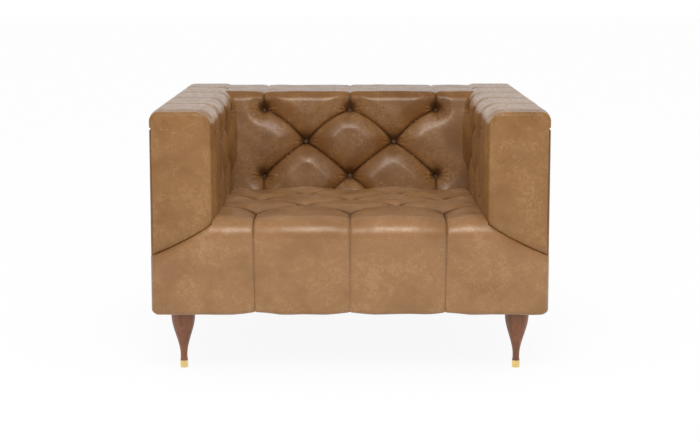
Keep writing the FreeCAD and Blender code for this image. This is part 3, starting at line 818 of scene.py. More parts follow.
@dataclass
class TuftedArm:
    """Inside arm: buttoned like the back, wrapped over the top to the outside seam."""

    finish: "LeatherFinish"
    side: Side
    row_heights: tuple[float, float, float] = (0.660, 0.575, 0.460)
    outer_columns: tuple[float, float, float] = (-0.238, -0.053, 0.137)
    middle_columns: tuple[float, float] = (-0.146, 0.042)
    top_pleats: tuple[float, float, float, float] = (-0.238, -0.053, 0.137, 0.322)
    next_column: float = 0.12
    inner_radius: float = 0.038
    outer_radius: float = 0.025
    edge_radius: float = 0.005
    soft_radius: float = 0.010
    front_gap: float = 0.0006
    core_gap: float = 0.0025
    frame_gap: float = 0.0005
    seam_gap: float = 0.0012
    ring: float = 0.0136
    corner_cut: float = 0.0300
    outer_corner_in: Point = (0.008, 0.006)
    seam_roll: float = 0.004
    face_fade: Point = (0.34, 0.40)
    edge_fade: Point = (0.33, 0.40)
    top_calm: float = 0.35
    shoulder_place: Point = (0.20, 0.21)
    shoulder_size: Point = (0.085, 0.14)
    shoulder_height: float = 0.018
    rise_from_tuck: float = 0.09
    sink_from_tuck: float = 0.03
    rise_from_front: float = 0.05
    step: float = 0.0029
    end_step: float = 0.0010
    end_steps_width: float = 0.0110
    crown: float = 0.013
    upper_fold: FoldForm = FoldForm(0.030, 0.024, 0.032, bow=0.010, broad_width=0.07)
    lower_fold: FoldForm = FoldForm(0.032, 0.025, 0.032, bow=0.005, broad_width=0.07)
    top_pleat: FoldForm = FoldForm(0.022, 0.0075, 0.009, 0.0, 0.08, 0.72, 0.006)
    low_pleat: FoldForm = FoldForm(0.012, 0.010, 0.008, 0.0, 0.045, 0.6, 0.008)
    lower_front_pleat: FoldForm = FoldForm(0.016, 0.006, 0.0, 0.004, 0.05, 0.7, 0.010)
    upper_front_pleat: FoldForm = FoldForm(0.014, 0.005, 0.0, -0.004, 0.05, 0.8, 0.010)

    def profile(self) -> Profile:
        """Section across the pad, seen from the front, closed behind its foam.

        Returns:
            The section.
        """
        top = BODY.arm_top_z
        foot = (BODY.arm_inside_x, BODY.tuck_z, 0.0)
        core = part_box(self.side.word + "_arm_top_board")
        core_x = min(abs(core[0][0]), abs(core[1][0])) - self.core_gap
        core_z = core[1][2]
        seam_z = BODY.outside_seam_z + self.seam_gap
        return Profile(
            [
                foot,
                (BODY.arm_inside_x, top, self.inner_radius),
                (BODY.half_width, top, self.outer_radius),
                (BODY.half_width, seam_z, 0.0),
                (BODY.frame_side_x, seam_z, 0.0),
                (BODY.frame_side_x, core_z, 0.0),
                (core_x + self.corner_cut, core_z, 0.0),
                (core_x, core_z, 0.0),
                (core_x, core_z - self.corner_cut, 0.0),
                (core_x, BODY.tuck_z, 0.0),
                foot,
            ]
        )

    def tufting(self, shown: float) -> Tufting:
        """Folds and tufts of the inside arm.

        Args:
            shown: Distance along the profile at which the leather ends.

        Returns:
            The tufting.
        """
        first, second, third = (z - BODY.tuck_z for z in self.row_heights)
        folds: list[Fold] = []
        tufts: list[Tuft] = []
        for y in self.outer_columns:
            tufts += [Tuft((y, first)), Tuft((y, third))]
            folds.append(Fold((y, third), (y, 0.0), self.low_pleat))
            for middle in self.middle_columns:
                if abs(y - middle) < self.next_column:
                    folds.append(Fold((y, first), (middle, second), self.upper_fold))
                    folds.append(Fold((middle, second), (y, third), self.lower_fold))
        tufts += [Tuft((y, second)) for y in self.middle_columns]
        for y in self.top_pleats:
            start = first if y in self.outer_columns else first + 0.03
            folds.append(Fold((y, start), (y, shown), self.top_pleat))
        front = self.outer_columns[0]
        folds.append(Fold((front, third), (-0.40, third + 0.012), self.lower_front_pleat))
        folds.append(Fold((front, first), (-0.37, first + 0.004), self.upper_front_pleat))
        # The arm's valleys get a moderate painted shade
        return Tufting(folds, tufts, self.crown, Unevenness(seed=23 + self.side.value), painted_valley_shade=0.45)

    def build(self) -> bpy.types.Object:
        """Makes and dresses the pad.

        Returns:
            The finished pad.
        """
        profile = self.profile()
        shown = profile.distance_at(1, BODY.outside_seam_z + self.seam_gap + 1e-5, 1)
        tufting = self.tufting(shown)
        front, rear = BODY.facing_y + self.front_gap, BODY.back_y - REAR_SKIN
        across = stations(front, rear, self.step, self.end_step, self.end_steps_width)
        core_x = float(min(corner[0] for corner in profile.corners[5:8]))
        core_z = profile.corners[5][1]
        corner_round = 0.3 * self.corner_cut
        along = profile_rows(profile, shown, 0.0, self.step)
        board_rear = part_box(self.side.word + "_arm_board")[1][1]
        rear_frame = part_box(self.side.word + "_arm_posts")[1][1]

        def place(s: Array, t: Array) -> tuple[Array, Array]:
            """Puts the leather's grid in place.

            Args:
                s: Distances along the arm.
                t: Distances along the profile.

            Returns:
                The vertices' places and their fold values, painted shade among them.
            """
            point, normal = profile.at(t)
            height, folds = tufting.relief(s, t)
            visible = t <= shown + TINY
            inside = 1.0 - ease(t, *self.face_fade)
            beside = (s - self.shoulder_place[0]) / self.shoulder_size[0]
            above = (t - self.shoulder_place[1]) / self.shoulder_size[1]
            shoulder = np.exp(-(beside**2) - above**2)
            height = height * (self.top_calm + (1.0 - self.top_calm) * inside)
            height = height + self.shoulder_height * shoulder * inside
            rise, sink = ease(t, 0.0, self.rise_from_tuck), ease(t, 0.0, self.sink_from_tuck)
            height *= np.where(height > 0.0, rise, sink)
            height *= np.where(height > 0.0, ease(s, front, front + self.rise_from_front), 1.0)
            edge = self.soft_radius - (self.soft_radius - self.edge_radius) * ease(t, *self.edge_fade)
            height -= rolled_edge(s - front, edge) + rolled_edge(rear - s, self.edge_radius)
            height -= rolled_edge(shown - t, self.seam_roll)
            height = np.where(visible, height, 0.0)
            x = point[:, 0] + normal[:, 0] * height
            z = point[:, 1] + normal[:, 1] * height
            at_ends = (s < BODY.frame_front_y) | (s > rear_frame)
            ringed = ~visible & ((s < board_rear) | (s > rear_frame))
            at_corner = (np.abs(x - core_x) < TINY) & (np.abs(z - core_z) < TINY)
            corner = ringed & at_ends & at_corner
            inner_side = ringed & (x < BODY.half_width - 0.05)
            upper = ringed & (z > BODY.outside_seam_z + 0.005) & (z > core_z - 1.5 * self.corner_cut)
            side_inset = np.where(at_ends, self.soft_radius, self.ring)
            top_inset = np.where(at_ends, self.edge_radius, self.ring)
            x = np.where(inner_side, BODY.arm_inside_x + side_inset + x - core_x, x)
            z = np.where(upper, BODY.arm_top_z - top_inset + z - core_z, z)
            x = np.where(corner, x + corner_round, x)
            z = np.where(corner, z - corner_round, z)
            outer_corner = upper & at_ends & (point[:, 0] > BODY.frame_side_x - TINY)
            x = np.where(outer_corner, x - self.outer_corner_in[0], x)
            z = np.where(outer_corner, z - self.outer_corner_in[1], z)
            under_seam = (z < seam_height(x)) & (s < BODY.frame_front_y)
            y = np.where(under_seam, BODY.frame_front_y + self.frame_gap, s)
            return np.stack([x * self.side.value, y, z], axis=-1), np.where(visible, folds, 0.0)

        piece = Skin(self.side.word + "_tufted_arm", profile, across, along).laid(place)
        Skin.closed(piece)
        smooth(piece)
        word = self.side.word
        return dress(piece, self.finish, 0.8, word + "_arm_cover", word + "_arm_foam")


def circle_through(first: Point, second: Point, third: Point) -> tuple[float, float, float]:
    """Centre and radius of the circle through three points.

    Args:
        first: One point.
        second: Another.
        third: The third.

    Returns:
        The centre's two coordinates and the radius.
    """
    rows = [[2.0 * (p[0] - first[0]), 2.0 * (p[1] - first[1])] for p in (second, third)]
    sides = [p[0] ** 2 + p[1] ** 2 - first[0] ** 2 - first[1] ** 2 for p in (second, third)]
    centre = np.linalg.solve(np.array(rows), np.array(sides))
    return float(centre[0]), float(centre[1]), float(np.hypot(*(centre - np.array(first))))


# Circle of the seam between the arm facings and the border, through three points of it
SEAM_ARC = circle_through((BODY.half_width, 0.333), (0.442, 0.375), (0.366, 0.420))


def seam_height(x: Array) -> Array:
    """Height of the curved seam between an arm facing and the front border."""
    centre_x, centre_z, radius = SEAM_ARC
    return centre_z - np.sqrt(np.maximum(radius**2 - (np.abs(x) - centre_x) ** 2, 0.0))


@dataclass
class TuftedSeat:
    """Tight seat tufted in diamonds, with the rolled and panelled front border in one with it."""

    finish: "LeatherFinish"
    tuft_rows: tuple[float, ...] = (-0.308, -0.208, -0.108, -0.008, 0.092, 0.192)
    outer_column: float = 0.260
    middle_column: float = 0.130
    border_seams: tuple[float, float, float] = (-0.257, 0.0, 0.257)
    roll_radius: float = 0.055
    hem_radius: float = 0.012
    rear_radius: float = 0.018
    border_edge_radius: float = 0.016
    seam_gap: float = 0.0006
    underside_gap: float = 0.0005
    foot_rise: float = 0.030
    arm_roll: float = 0.015
    arm_roll_rise: float = 0.05
    rise_from_hem: float = 0.012
    sink_to_rear: float = 0.05
    mound_width: float = 0.055
    mound_height: float = 0.009
    rear_drop: float = 0.010
    drop_start: Point = (0.190, 0.114)
    drop_end: Point = (0.112, 0.092)
    slab_width: float = 0.06
    step: float = 0.003
    edge_step: float = 0.0012
    middle_edge: float = 0.0168
    side_edge: float = 0.0216
    crown: float = 0.0055
    diamond_fold: FoldForm = FoldForm(0.018, 0.015, 0.018, 0.013, 0.062, 0.68, 0.007)
    border_seam: FoldForm = FoldForm(0.0105, 0.0130, 0.018, 0.0, 0.125, 0.72, 0.0040, 1.9, 0.55)

    def profile(self) -> Profile:
        """Section through the seat, seen from the side, from the hem round to the hem.

        Returns:
            The section.
        """
        hem_z = BODY.underside_z + self.underside_gap
        hem = (BODY.frame_front_y, hem_z, 0.0)
        rear_foot_y = BODY.back_face_y(BODY.tuck_z)
        return Profile(
            [
                hem,
                (BODY.border_y, hem_z, self.hem_radius),
                (BODY.border_y, BODY.seat_z, self.roll_radius),
                (BODY.back_face_y(BODY.seat_z), BODY.seat_z, self.rear_radius),
                (rear_foot_y, BODY.tuck_z, 0.0),
                (rear_foot_y, BODY.seat_foot_z, 0.0),
                (BODY.frame_front_y, BODY.seat_foot_z, 0.0),
                hem,
            ]
        )

    def tufting(self, profile: Profile) -> Tufting:
        """Folds and tufts of the seat, and the seams of the border.

        Args:
            profile: The seat's section.

        Returns:
            The tufting.
        """
        rows = [profile.distance_at(0, y, 0) for y in self.tuft_rows[:5]]
        rows.append(2.0 * rows[4] - rows[3])
        folds: list[Fold] = []
        tufts: list[Tuft] = []
        columns = [
            (-2, 0, 2) if index % 2 == 0 else (-3, -1, 1, 3) for index in range(len(rows))
        ]
        for index, row in enumerate(rows[:5]):
            for column in columns[index]:
                x = column * self.middle_column
                tufts.append(Tuft((x, row), depth=0.019, radius=0.032, ripple=0.0007, shade=0.0))
                for after in columns[index + 1]:
                    if abs(after - column) == 1:
                        end = (after * self.middle_column, rows[index + 1])
                        folds.append(Fold((x, row), end, self.diamond_fold))
        for x in self.border_seams:
            knot = math.copysign(self.outer_column, x) if x else 0.0
            folds.append(Fold((x, self.rise_from_hem), (knot, rows[0]), self.border_seam))
        # The seat's valleys get painted shade at full strength
        return Tufting(
            folds, tufts, self.crown, Unevenness(seed=5), blend=0.002, painted_valley_shade=1.0, valley_shade_width=0.025
        )

    def build(self) -> bpy.types.Object:
        """Makes and dresses the seat and its border.

        Returns:
            The finished seat.
        """
        profile = self.profile()
        half, inner = BODY.half_width, BODY.inner_half_width
        seam_at_arm = float(seam_height(np.array(inner))) - self.seam_gap
        joint = profile.distance_at(1, seam_at_arm, 0)
        rear = profile.distance_at(1, BODY.tuck_z, 1)
        strip = profile.distance_at(0, BODY.frame_front_y + NEARBY, 1)
        tufting = self.tufting(profile)
        side_columns = stations(inner, half, self.step, self.edge_step, self.side_edge)[1:]
        middle_columns = stations(-inner, inner, self.step, self.edge_step, self.middle_edge)
        across = np.concatenate([-side_columns[::-1], middle_columns, side_columns])
        shown_rows = profile_rows(profile, rear, 0.0, self.step)
        along = np.unique(np.concatenate([shown_rows, [joint]]))
        foot_z = BODY.underside_z + self.foot_rise
        rise_t = np.linspace(0.02, joint, 400)
        rise_z = profile.at(rise_t)[0][:, 1]

        def place(s: Array, t: Array) -> tuple[Array, Array]:
            """Puts the leather's grid in place.

            Args:
                s: Distances across the chair.
                t: Distances along the profile.

            Returns:
                The vertices' places and their fold values, painted shade among them.
            """
            point, normal = profile.at(t)
            height, folds = tufting.relief(s, t)
            shown = t <= rear + TINY
            on_seat = t > joint + TINY
            edge = rolled_edge(inner - np.abs(s), self.arm_roll)
            edge = edge * ease(t, joint, joint + self.arm_roll_rise)
            height = height - np.where(on_seat, edge, 0.0)
            height *= ease(t, 0.0, self.rise_from_hem) * (1.0 - ease(t, rear - self.sink_to_rear, rear))
            mound = np.exp(-(((np.abs(s) - self.middle_column) / self.mound_width) ** 2))
            sunk = ease(t, rear - self.drop_start[0], rear - self.drop_start[1])
            sunk = sunk * (1.0 - ease(t, rear - self.drop_end[0], rear - self.drop_end[1]))
            height -= (self.rear_drop - self.mound_height * mound) * sunk
            height = np.where(shown, height, 0.0)
            y = point[:, 0] + normal[:, 0] * height
            z = point[:, 1] + normal[:, 1] * height
            wide = np.abs(s) > inner + TINY
            on_border = wide & (t <= joint + TINY)
            seam = seam_height(s) - self.seam_gap
            squeeze = np.clip((point[:, 1] - foot_z) / (seam_at_arm - foot_z), 0.0, 1.0)
            low_z = foot_z + squeeze * (seam - foot_z)
            lower_t = np.interp(low_z, rise_z, rise_t)
            lower_point, lower_normal = profile.at(lower_t)
            lower_height = tufting.relief(s, lower_t)[0]
            squeezed = on_border & (point[:, 1] >= foot_z)
            height = np.where(squeezed, lower_height, height)
            y = np.where(squeezed, lower_point[:, 0] + lower_normal[:, 0] * lower_height, y)
            share = ease(np.abs(s), inner, inner + self.slab_width)
            followed_z = low_z + lower_normal[:, 1] * lower_height * (1.0 - share)
            low_z = np.where(squeezed, followed_z, z)
            top_round = rounded((seam - low_z) * 0.86, self.border_edge_radius)
            side_round = rounded(half - np.abs(s), self.border_edge_radius)
            above_roll = point[:, 1] > BODY.seat_z - self.roll_radius
            flat_y = np.where(above_roll, BODY.border_y, point[:, 0]) - height
            slab_y = BODY.facing_y + (flat_y - BODY.facing_y) * top_round * side_round
            under = point[:, 1] < BODY.underside_z + 0.002
            under = on_border & under & (point[:, 0] > BODY.facing_y)
            y = np.where(on_border & ~under, y * (1.0 - share) + slab_y * share, y)
            z = np.where(on_border, low_z, z)
            folded = wide & (t > joint + TINY) & (t < strip - TINY)
            y = np.where(folded, (BODY.facing_y + BODY.frame_front_y) / 2.0, y)
            z = np.where(folded, seam, z)
            back_strip = wide & (t >= strip - TINY) & (point[:, 1] > BODY.underside_z + 0.01)
            z = np.where(back_strip, seam, z)
            return flared(np.stack([s, y, z], axis=-1)), np.where(shown, folds, 0.0)

        piece = Skin("tufted_seat", profile, across, along).laid(place)
        self.trim(piece, inner)
        Skin.closed(piece)
        smooth(piece)
        return dress(
            piece, self.finish, 0.85, "seat_cover", "seat_foam", "border_foam",
            "left_inner_border_panel", "left_outer_border_panel",
            "right_inner_border_panel", "right_outer_border_panel",
        )

    def trim(self, piece: bpy.types.Object, inner: float) -> None:
        """Takes out the faces that would close the seat's ends in a fan.

        Args:
            piece: The laid seat.
            inner: Half the width between the arms.
        """
        pick(piece)
        bpy.ops.object.mode_set(mode="EDIT")
        mesh = bmesh.from_edit_mesh(piece.data)
        for face in mesh.faces:
            ends = [abs(vertex.co.x) for vertex in face.verts]
            crosses = min(ends) < inner + NEARBY < max(ends) - NEARBY
            inside = [vertex.co.y for vertex in face.verts if abs(vertex.co.x) <= inner + NEARBY]
            tall = max(inside, default=BODY.frame_front_y) > BODY.frame_front_y + 10.0 * NEARBY
            face.select_set(crosses and tall)
        bmesh.update_edit_mesh(piece.data)
        bpy.ops.mesh.delete(type="FACE")
        bpy.ops.object.mode_set(mode="OBJECT")


# Which corner of an outline each corner of a unit plane becomes, by the signs of its X and Y
CORNER_ORDER = {(-1, -1): 0, (1, -1): 1, (1, 1): 2, (-1, 1): 3}
# Spacings of the rings inside a panel's edge, as shares of its lip's radius
LIP_RINGS = (0.12, 0.2, 0.3, 0.4, 0.5, 0.5)


@dataclass
class SewnPanel:
    """Flat leather panel over thin padding, sewn in all round."""

    name: str
    plane: Plane
    outline: Sequence[Corner]
    surface: float
    outward: float
    thickness: float
    crown: float = 0.003
    crown_width: float = 0.07
    lip_radius: float = 0.0055
    lip_depth: float = 0.0035
    grid: float = 0.009
    seed: int = 3
    corner_segments: int = 10
    uneven_height: float = 0.0009
    stitch_width: float = 0.0012
    least_face: float = 9.6e-6
    lip_share: Callable[[Array, Array], Array] | None = None

    def build(self, bend: Callable[[Array], Array] | None = None, edge_cuts: int = 0) -> bpy.types.Object:
        """Makes the panel from a plane by bevels, insets, cuts and an extrusion.

        Args:
            bend: Gives the height of the bottom edge from its place across, where that edge is curved.
            edge_cuts: Cuts along the bottom edge for that curve.

        Returns:
            The closed panel, not yet dressed.
        """
        first, second, _ = self.plane.value
        piece = self._plate()
        self._round_corners(piece)
        if bend is not None:
            self._bend_bottom(piece, bend, edge_cuts)
        outline = self._outline(piece)
        self._insets(piece)
        self._cuts(piece)
        places = vertex_places(piece)
        distance = distance_to_outline(places[:, first], places[:, second], outline)
        hill = 1.0 - (1.0 - np.clip(distance / self.crown_width, 0.0, 1.0)) ** 2
        waves = Unevenness(self.seed).height(places[:, first], places[:, second])
        height = self.crown * hill + self.uneven_height * waves * hill
        share = self._lip_share(places[:, first], places[:, second])
        height -= rolled_edge(distance, self.lip_radius) * self.lip_depth / self.lip_radius * share
        places[:, self.plane.value[2]] = self.surface + self.outward * height
        move_vertices(piece, places)
        self._close(piece)
        move_vertices(piece, flared(vertex_places(piece)))
        places = vertex_places(piece)
        distance = distance_to_outline(places[:, first], places[:, second], outline)
        share = self._lip_share(places[:, first], places[:, second])
        stitched = np.clip(1.0 - distance / self.stitch_width, 0.0, 1.0) * share**2
        attribute = piece.data.attributes.new("fold", "FLOAT", "POINT")
        attribute.data.foreach_set("value", stitched)
        smooth(piece)
        return piece

    def _lip_share(self, u: Array, v: Array) -> Array:
        """How much of the lip the edge has near each place, from 0 to 1."""
        return np.ones_like(u) if self.lip_share is None else self.lip_share(u, v)

    def _plate(self) -> bpy.types.Object:
        """Adds a plane and moves its corners to the outline's corners.

        Returns:
            The plane.
        """
        pick_nothing()
        bpy.ops.mesh.primitive_plane_add(size=1.0)
        piece = bpy.context.active_object
        piece.name = piece.data.name = self.name
        across, up, depth = self.plane.value
        places = vertex_places(piece)
        for index, (x, y, _) in enumerate(places.copy()):
            signs = (int(math.copysign(1, x)), int(math.copysign(1, y)))
            corner = self.outline[CORNER_ORDER[signs]]
            places[index, across], places[index, up] = corner[0], corner[1]
            places[index, depth] = self.surface
        move_vertices(piece, places)
        return piece

    def _pick_vertices(self, piece: bpy.types.Object, wanted: Callable[[Point], bool]) -> None:
        """Selects the vertices at wanted places, in edit mode.

        Args:
            piece: The panel.
            wanted: Says for a place in the panel's plane whether its vertex is selected.
        """
        across, up, _ = self.plane.value
        bpy.ops.mesh.select_mode(type="VERT")
        bpy.ops.mesh.select_all(action="DESELECT")
        mesh = bmesh.from_edit_mesh(piece.data)
        for vertex in mesh.verts:
            vertex.select = wanted((vertex.co[across], vertex.co[up]))
        mesh.select_flush_mode()
        bmesh.update_edit_mesh(piece.data)

    def _round_corners(self, piece: bpy.types.Object) -> None:
        """Bevels the corners that have a radius.

        Args:
            piece: The panel.
        """
        pick(piece)
        bpy.ops.object.mode_set(mode="EDIT")
        bpy.ops.mesh.select_mode(type="VERT")
        for corner in self.outline:
            if corner[2] > 0.0:
                self._pick_vertices(piece, lambda p, c=corner: math.dist(p, c[:2]) < NEARBY)
                bpy.ops.mesh.bevel(
                    offset=corner[2], offset_type="OFFSET", segments=self.corner_segments, profile=0.5,
                    affect="VERTICES",
                )
        bpy.ops.object.mode_set(mode="OBJECT")

    def _bend_bottom(self, piece: bpy.types.Object, bend: Callable[[Array], Array], cuts: int) -> None:
        """Cuts the bottom edge and moves its vertices onto a curve.

        Args:
            piece: The panel.
            bend: Gives the edge's height from its place across.
            cuts: How many cuts the edge gets.
        """
        across, up, _ = self.plane.value
        bottom = {corner[:2] for corner in self.outline[:2]}
        pick(piece)
        bpy.ops.object.mode_set(mode="EDIT")
        self._pick_vertices(piece, lambda p: any(math.dist(p, c) < NEARBY for c in bottom))
        bpy.ops.mesh.subdivide(number_cuts=cuts)
        bpy.ops.object.mode_set(mode="OBJECT")
        places = vertex_places(piece)
        (u0, v0), (u1, v1) = self.outline[0][:2], self.outline[1][:2]
        on_line = v0 + (v1 - v0) * (places[:, across] - u0) / (u1 - u0)
        low = np.abs(places[:, up] - on_line) < NEARBY
        places[:, up] = np.where(low, bend(places[:, across]), places[:, up])
        move_vertices(piece, places)

    def _outline(self, piece: bpy.types.Object) -> Array:
        """Places round the panel's edge, in order, in its own plane.

        Args:
            piece: The panel while it is one face.

        Returns:
            The places, one row each.
        """
        across, up, _ = self.plane.value
        corners = [piece.data.vertices[index].co for index in piece.data.polygons[0].vertices]
        return np.array([[place[across], place[up]] for place in corners])

    def _insets(self, piece: bpy.types.Object) -> None:
        """Adds rings inside the edge for its rolled lip.

        Args:
            piece: The panel.
        """
        pick(piece)
        bpy.ops.object.mode_set(mode="EDIT")
        bpy.ops.mesh.select_mode(type="FACE")
        bpy.ops.mesh.select_all(action="SELECT")
        for share in LIP_RINGS:
            bpy.ops.mesh.inset(thickness=share * self.lip_radius, depth=0.0, use_even_offset=True)
        bpy.ops.object.mode_set(mode="OBJECT")

    def _cuts(self, piece: bpy.types.Object) -> None:
        """Cuts the middle of the panel into a grid.

        Args:
            piece: The panel.
        """
        pick(piece)
        bpy.ops.object.mode_set(mode="EDIT")
        bpy.ops.mesh.select_mode(type="FACE")
        for axis in self.plane.value[:2]:
            values = [corner[0 if axis == self.plane.value[0] else 1] for corner in self.outline]
            low, high = min(values), max(values)
            count = max(2, round((high - low) / self.grid))
            for index in range(1, count):
                cut = [0.0, 0.0, 0.0]
                cut[axis] = low + (high - low) * index / count
                way = [0.0, 0.0, 0.0]
                way[axis] = 1.0
                mesh = bmesh.from_edit_mesh(piece.data)
                for face in mesh.faces:
                    reach = [vertex.co[axis] for vertex in face.verts]
                    face.select_set(min(reach) < cut[axis] < max(reach) and self._inner(face))
                bmesh.update_edit_mesh(piece.data)
                if any(face.select for face in mesh.faces):
                    bpy.ops.mesh.bisect(plane_co=cut, plane_no=way)
        bpy.ops.object.mode_set(mode="OBJECT")

    def _inner(self, face: bmesh.types.BMFace) -> bool:
        """Whether a face lies inside the rings of the lip."""
        return not any(edge.is_boundary for edge in face.edges) and face.calc_area() > self.least_face

    def _close(self, piece: bpy.types.Object) -> None:
        """Carries the edge back to the frame and closes the panel behind.

        Args:
            piece: The panel.
        """
        depth = self.plane.value[2]
        pick(piece)
        bpy.ops.object.mode_set(mode="EDIT")
        bpy.ops.mesh.select_mode(type="EDGE")
        bpy.ops.mesh.select_all(action="DESELECT")
        mesh = bmesh.from_edit_mesh(piece.data)
        for edge in mesh.edges:
            edge.select_set(edge.is_boundary)
        bmesh.update_edit_mesh(piece.data)
        bpy.ops.mesh.extrude_edges_move()
        mesh = bmesh.from_edit_mesh(piece.data)
        for vertex in mesh.verts:
            if vertex.select:
                vertex.co[depth] = self.surface - self.outward * self.thickness
        bmesh.update_edit_mesh(piece.data)
        bpy.ops.mesh.edge_face_add()
        bpy.ops.mesh.select_all(action="SELECT")
        bpy.ops.mesh.normals_make_consistent(inside=False)
        bpy.ops.object.mode_set(mode="OBJECT")


def distance_to_outline(u: Array, v: Array, outline: Array) -> Array:
    """Distance of places to the nearest point of a closed outline.

    Args:
        u: First coordinate of each place.
        v: Second coordinate.
        outline: The outline's corners in order.

    Returns:
        The distances.
    """
    best = np.full(u.shape, np.inf)
    for low, high in zip(outline, np.roll(outline, -1, axis=0)):
        way = high - low
        reach = float(way @ way)
        part = np.clip(((u - low[0]) * way[0] + (v - low[1]) * way[1]) / max(reach, 1e-12), 0.0, 1.0)
        best = np.minimum(best, np.hypot(u - low[0] - part * way[0], v - low[1] - part * way[1]))
    return best


# Finishes


class NodeBench:
    """Builds a procedural material's nodes."""

    def __init__(self, name: str) -> None:
        """Starts a material with a Principled shader.

        Args:
            name: The material's name.
        """
        self.material = bpy.data.materials.new(name)
        self.material.use_nodes = True
        self.tree = self.material.node_tree
        self.shader = self.tree.nodes["Principled BSDF"]
        self.place = self.tree.nodes.new("ShaderNodeTexCoord").outputs["Object"]

    def node(self, kind: str, settings: dict | None = None, **sockets: object) -> bpy.types.Node:
        """Adds a node.

        Args:
            kind: Node type.
            settings: Properties of the node.
            **sockets: Input values or links, named as the sockets with underscores for spaces.

        Returns:
            The node.
        """
        node = self.tree.nodes.new(kind)
        for name, value in (settings or {}).items():
            setattr(node, name, value)
        for name, value in sockets.items():
            self.connect(node.inputs[name.replace("_", " ")], value)
        return node

    def connect(self, socket: bpy.types.NodeSocket, value: object) -> None:
        """Links a socket or sets its value.

        Args:
            socket: An input of a node.
            value: An output to link, or a plain value.
        """
        if isinstance(value, bpy.types.NodeSocket):
            self.tree.links.new(value, socket)
        else:
            socket.default_value = value

    def scaled(self, x: float, y: float, z: float) -> bpy.types.NodeSocket:
        """Object coordinates stretched by a factor along each axis."""
        return self.node("ShaderNodeMapping", Vector=self.place, Scale=(x, y, z)).outputs["Vector"]

    def noise(self, scale: float, detail: float, rough: float = 0.5, warp: float = 0.0,
              place: bpy.types.NodeSocket | None = None) -> bpy.types.NodeSocket:
        """Fractal noise on the object's own coordinates.

        Args:
            scale: How fine the noise is.
            detail: Number of finer layers.
            rough: Strength of the finer layers.
            warp: How much it is distorted.
            place: Coordinates, if not the plain ones.

        Returns:
            The noise, from 0 to 1.
        """
        return self.node(
            "ShaderNodeTexNoise", Vector=place or self.place, Scale=scale, Detail=detail, Roughness=rough,
            Distortion=warp,
        ).outputs["Fac"]

    def math(self, operation: str, first: object, second: object = 0.0) -> bpy.types.NodeSocket:
        """One arithmetic step.

        Args:
            operation: What is done.
            first: A value, or the output that gives it.
            second: The other value.

        Returns:
            The result.
        """
        node = self.tree.nodes.new("ShaderNodeMath")
        node.operation = operation
        self.connect(node.inputs[0], first)
        self.connect(node.inputs[1], second)
        return node.outputs[0]

    def span(self, value: object, low: float, high: float, to_low: float = 0.0,
             to_high: float = 1.0) -> bpy.types.NodeSocket:
        """Maps a value smoothly from one span to another, held at the ends.

        Args:
            value: A value, or the output that gives it.
            low: Start of its span.
            high: End of its span.
            to_low: What the start becomes.
            to_high: What the end becomes.

        Returns:
            The mapped value.
        """
        node = self.tree.nodes.new("ShaderNodeMapRange")
        node.interpolation_type = "SMOOTHSTEP"
        for index, item in enumerate((value, low, high, to_low, to_high)):
            self.connect(node.inputs[index], item)
        return node.outputs[0]

    def mix(self, share: object, first: object, second: object) -> bpy.types.NodeSocket:
        """Mixes two colours.

        Args:
            share: How much of the second colour is taken.
            first: A colour, or the output that gives it.
            second: The other colour.

        Returns:
            The mixed colour.
        """
        node = self.tree.nodes.new("ShaderNodeMix")
        node.data_type = "RGBA"
        self.connect(node.inputs[0], share)
        for socket, value in ((node.inputs[6], first), (node.inputs[7], second)):
            self.connect(socket, (*value, 1.0) if isinstance(value, tuple) else value)
        return node.outputs[2]

    def bump(self, height: object, depth: float, strength: float = 1.0,
             under: bpy.types.NodeSocket | None = None) -> bpy.types.NodeSocket:
        """Bump from a height, laid over another.

        Args:
            height: The height, from 0 to 1.
            depth: What a height of 1 measures, in metres.
            strength: How strongly it shows.
            under: A bumped normal that it is laid over.

        Returns:
            The bumped normal.
        """
        node = self.node("ShaderNodeBump", Strength=strength, Distance=depth, Height=height)
        if under is not None:
            self.connect(node.inputs["Normal"], under)
        return node.outputs["Normal"]

    def finish(self, color: object, roughness: object, normal: bpy.types.NodeSocket | None = None,
               **fixed: float | tuple[float, ...]) -> bpy.types.Material:
        """Connects the shader and gives the material back.

        Args:
            color: Base colour.
            roughness: Roughness.
            normal: Bumped normal.
            **fixed: Values set on the shader's own sockets.

        Returns:
            The finished material.
        """
        base = (*color, 1.0) if isinstance(color, tuple) else color
        self.connect(self.shader.inputs["Base Color"], base)
        self.connect(self.shader.inputs["Roughness"], roughness)
        if normal is not None:
            self.connect(self.shader.inputs["Normal"], normal)
        for name, value in fixed.items():
            self.shader.inputs[name.replace("_", " ")].default_value = value
        return self.material


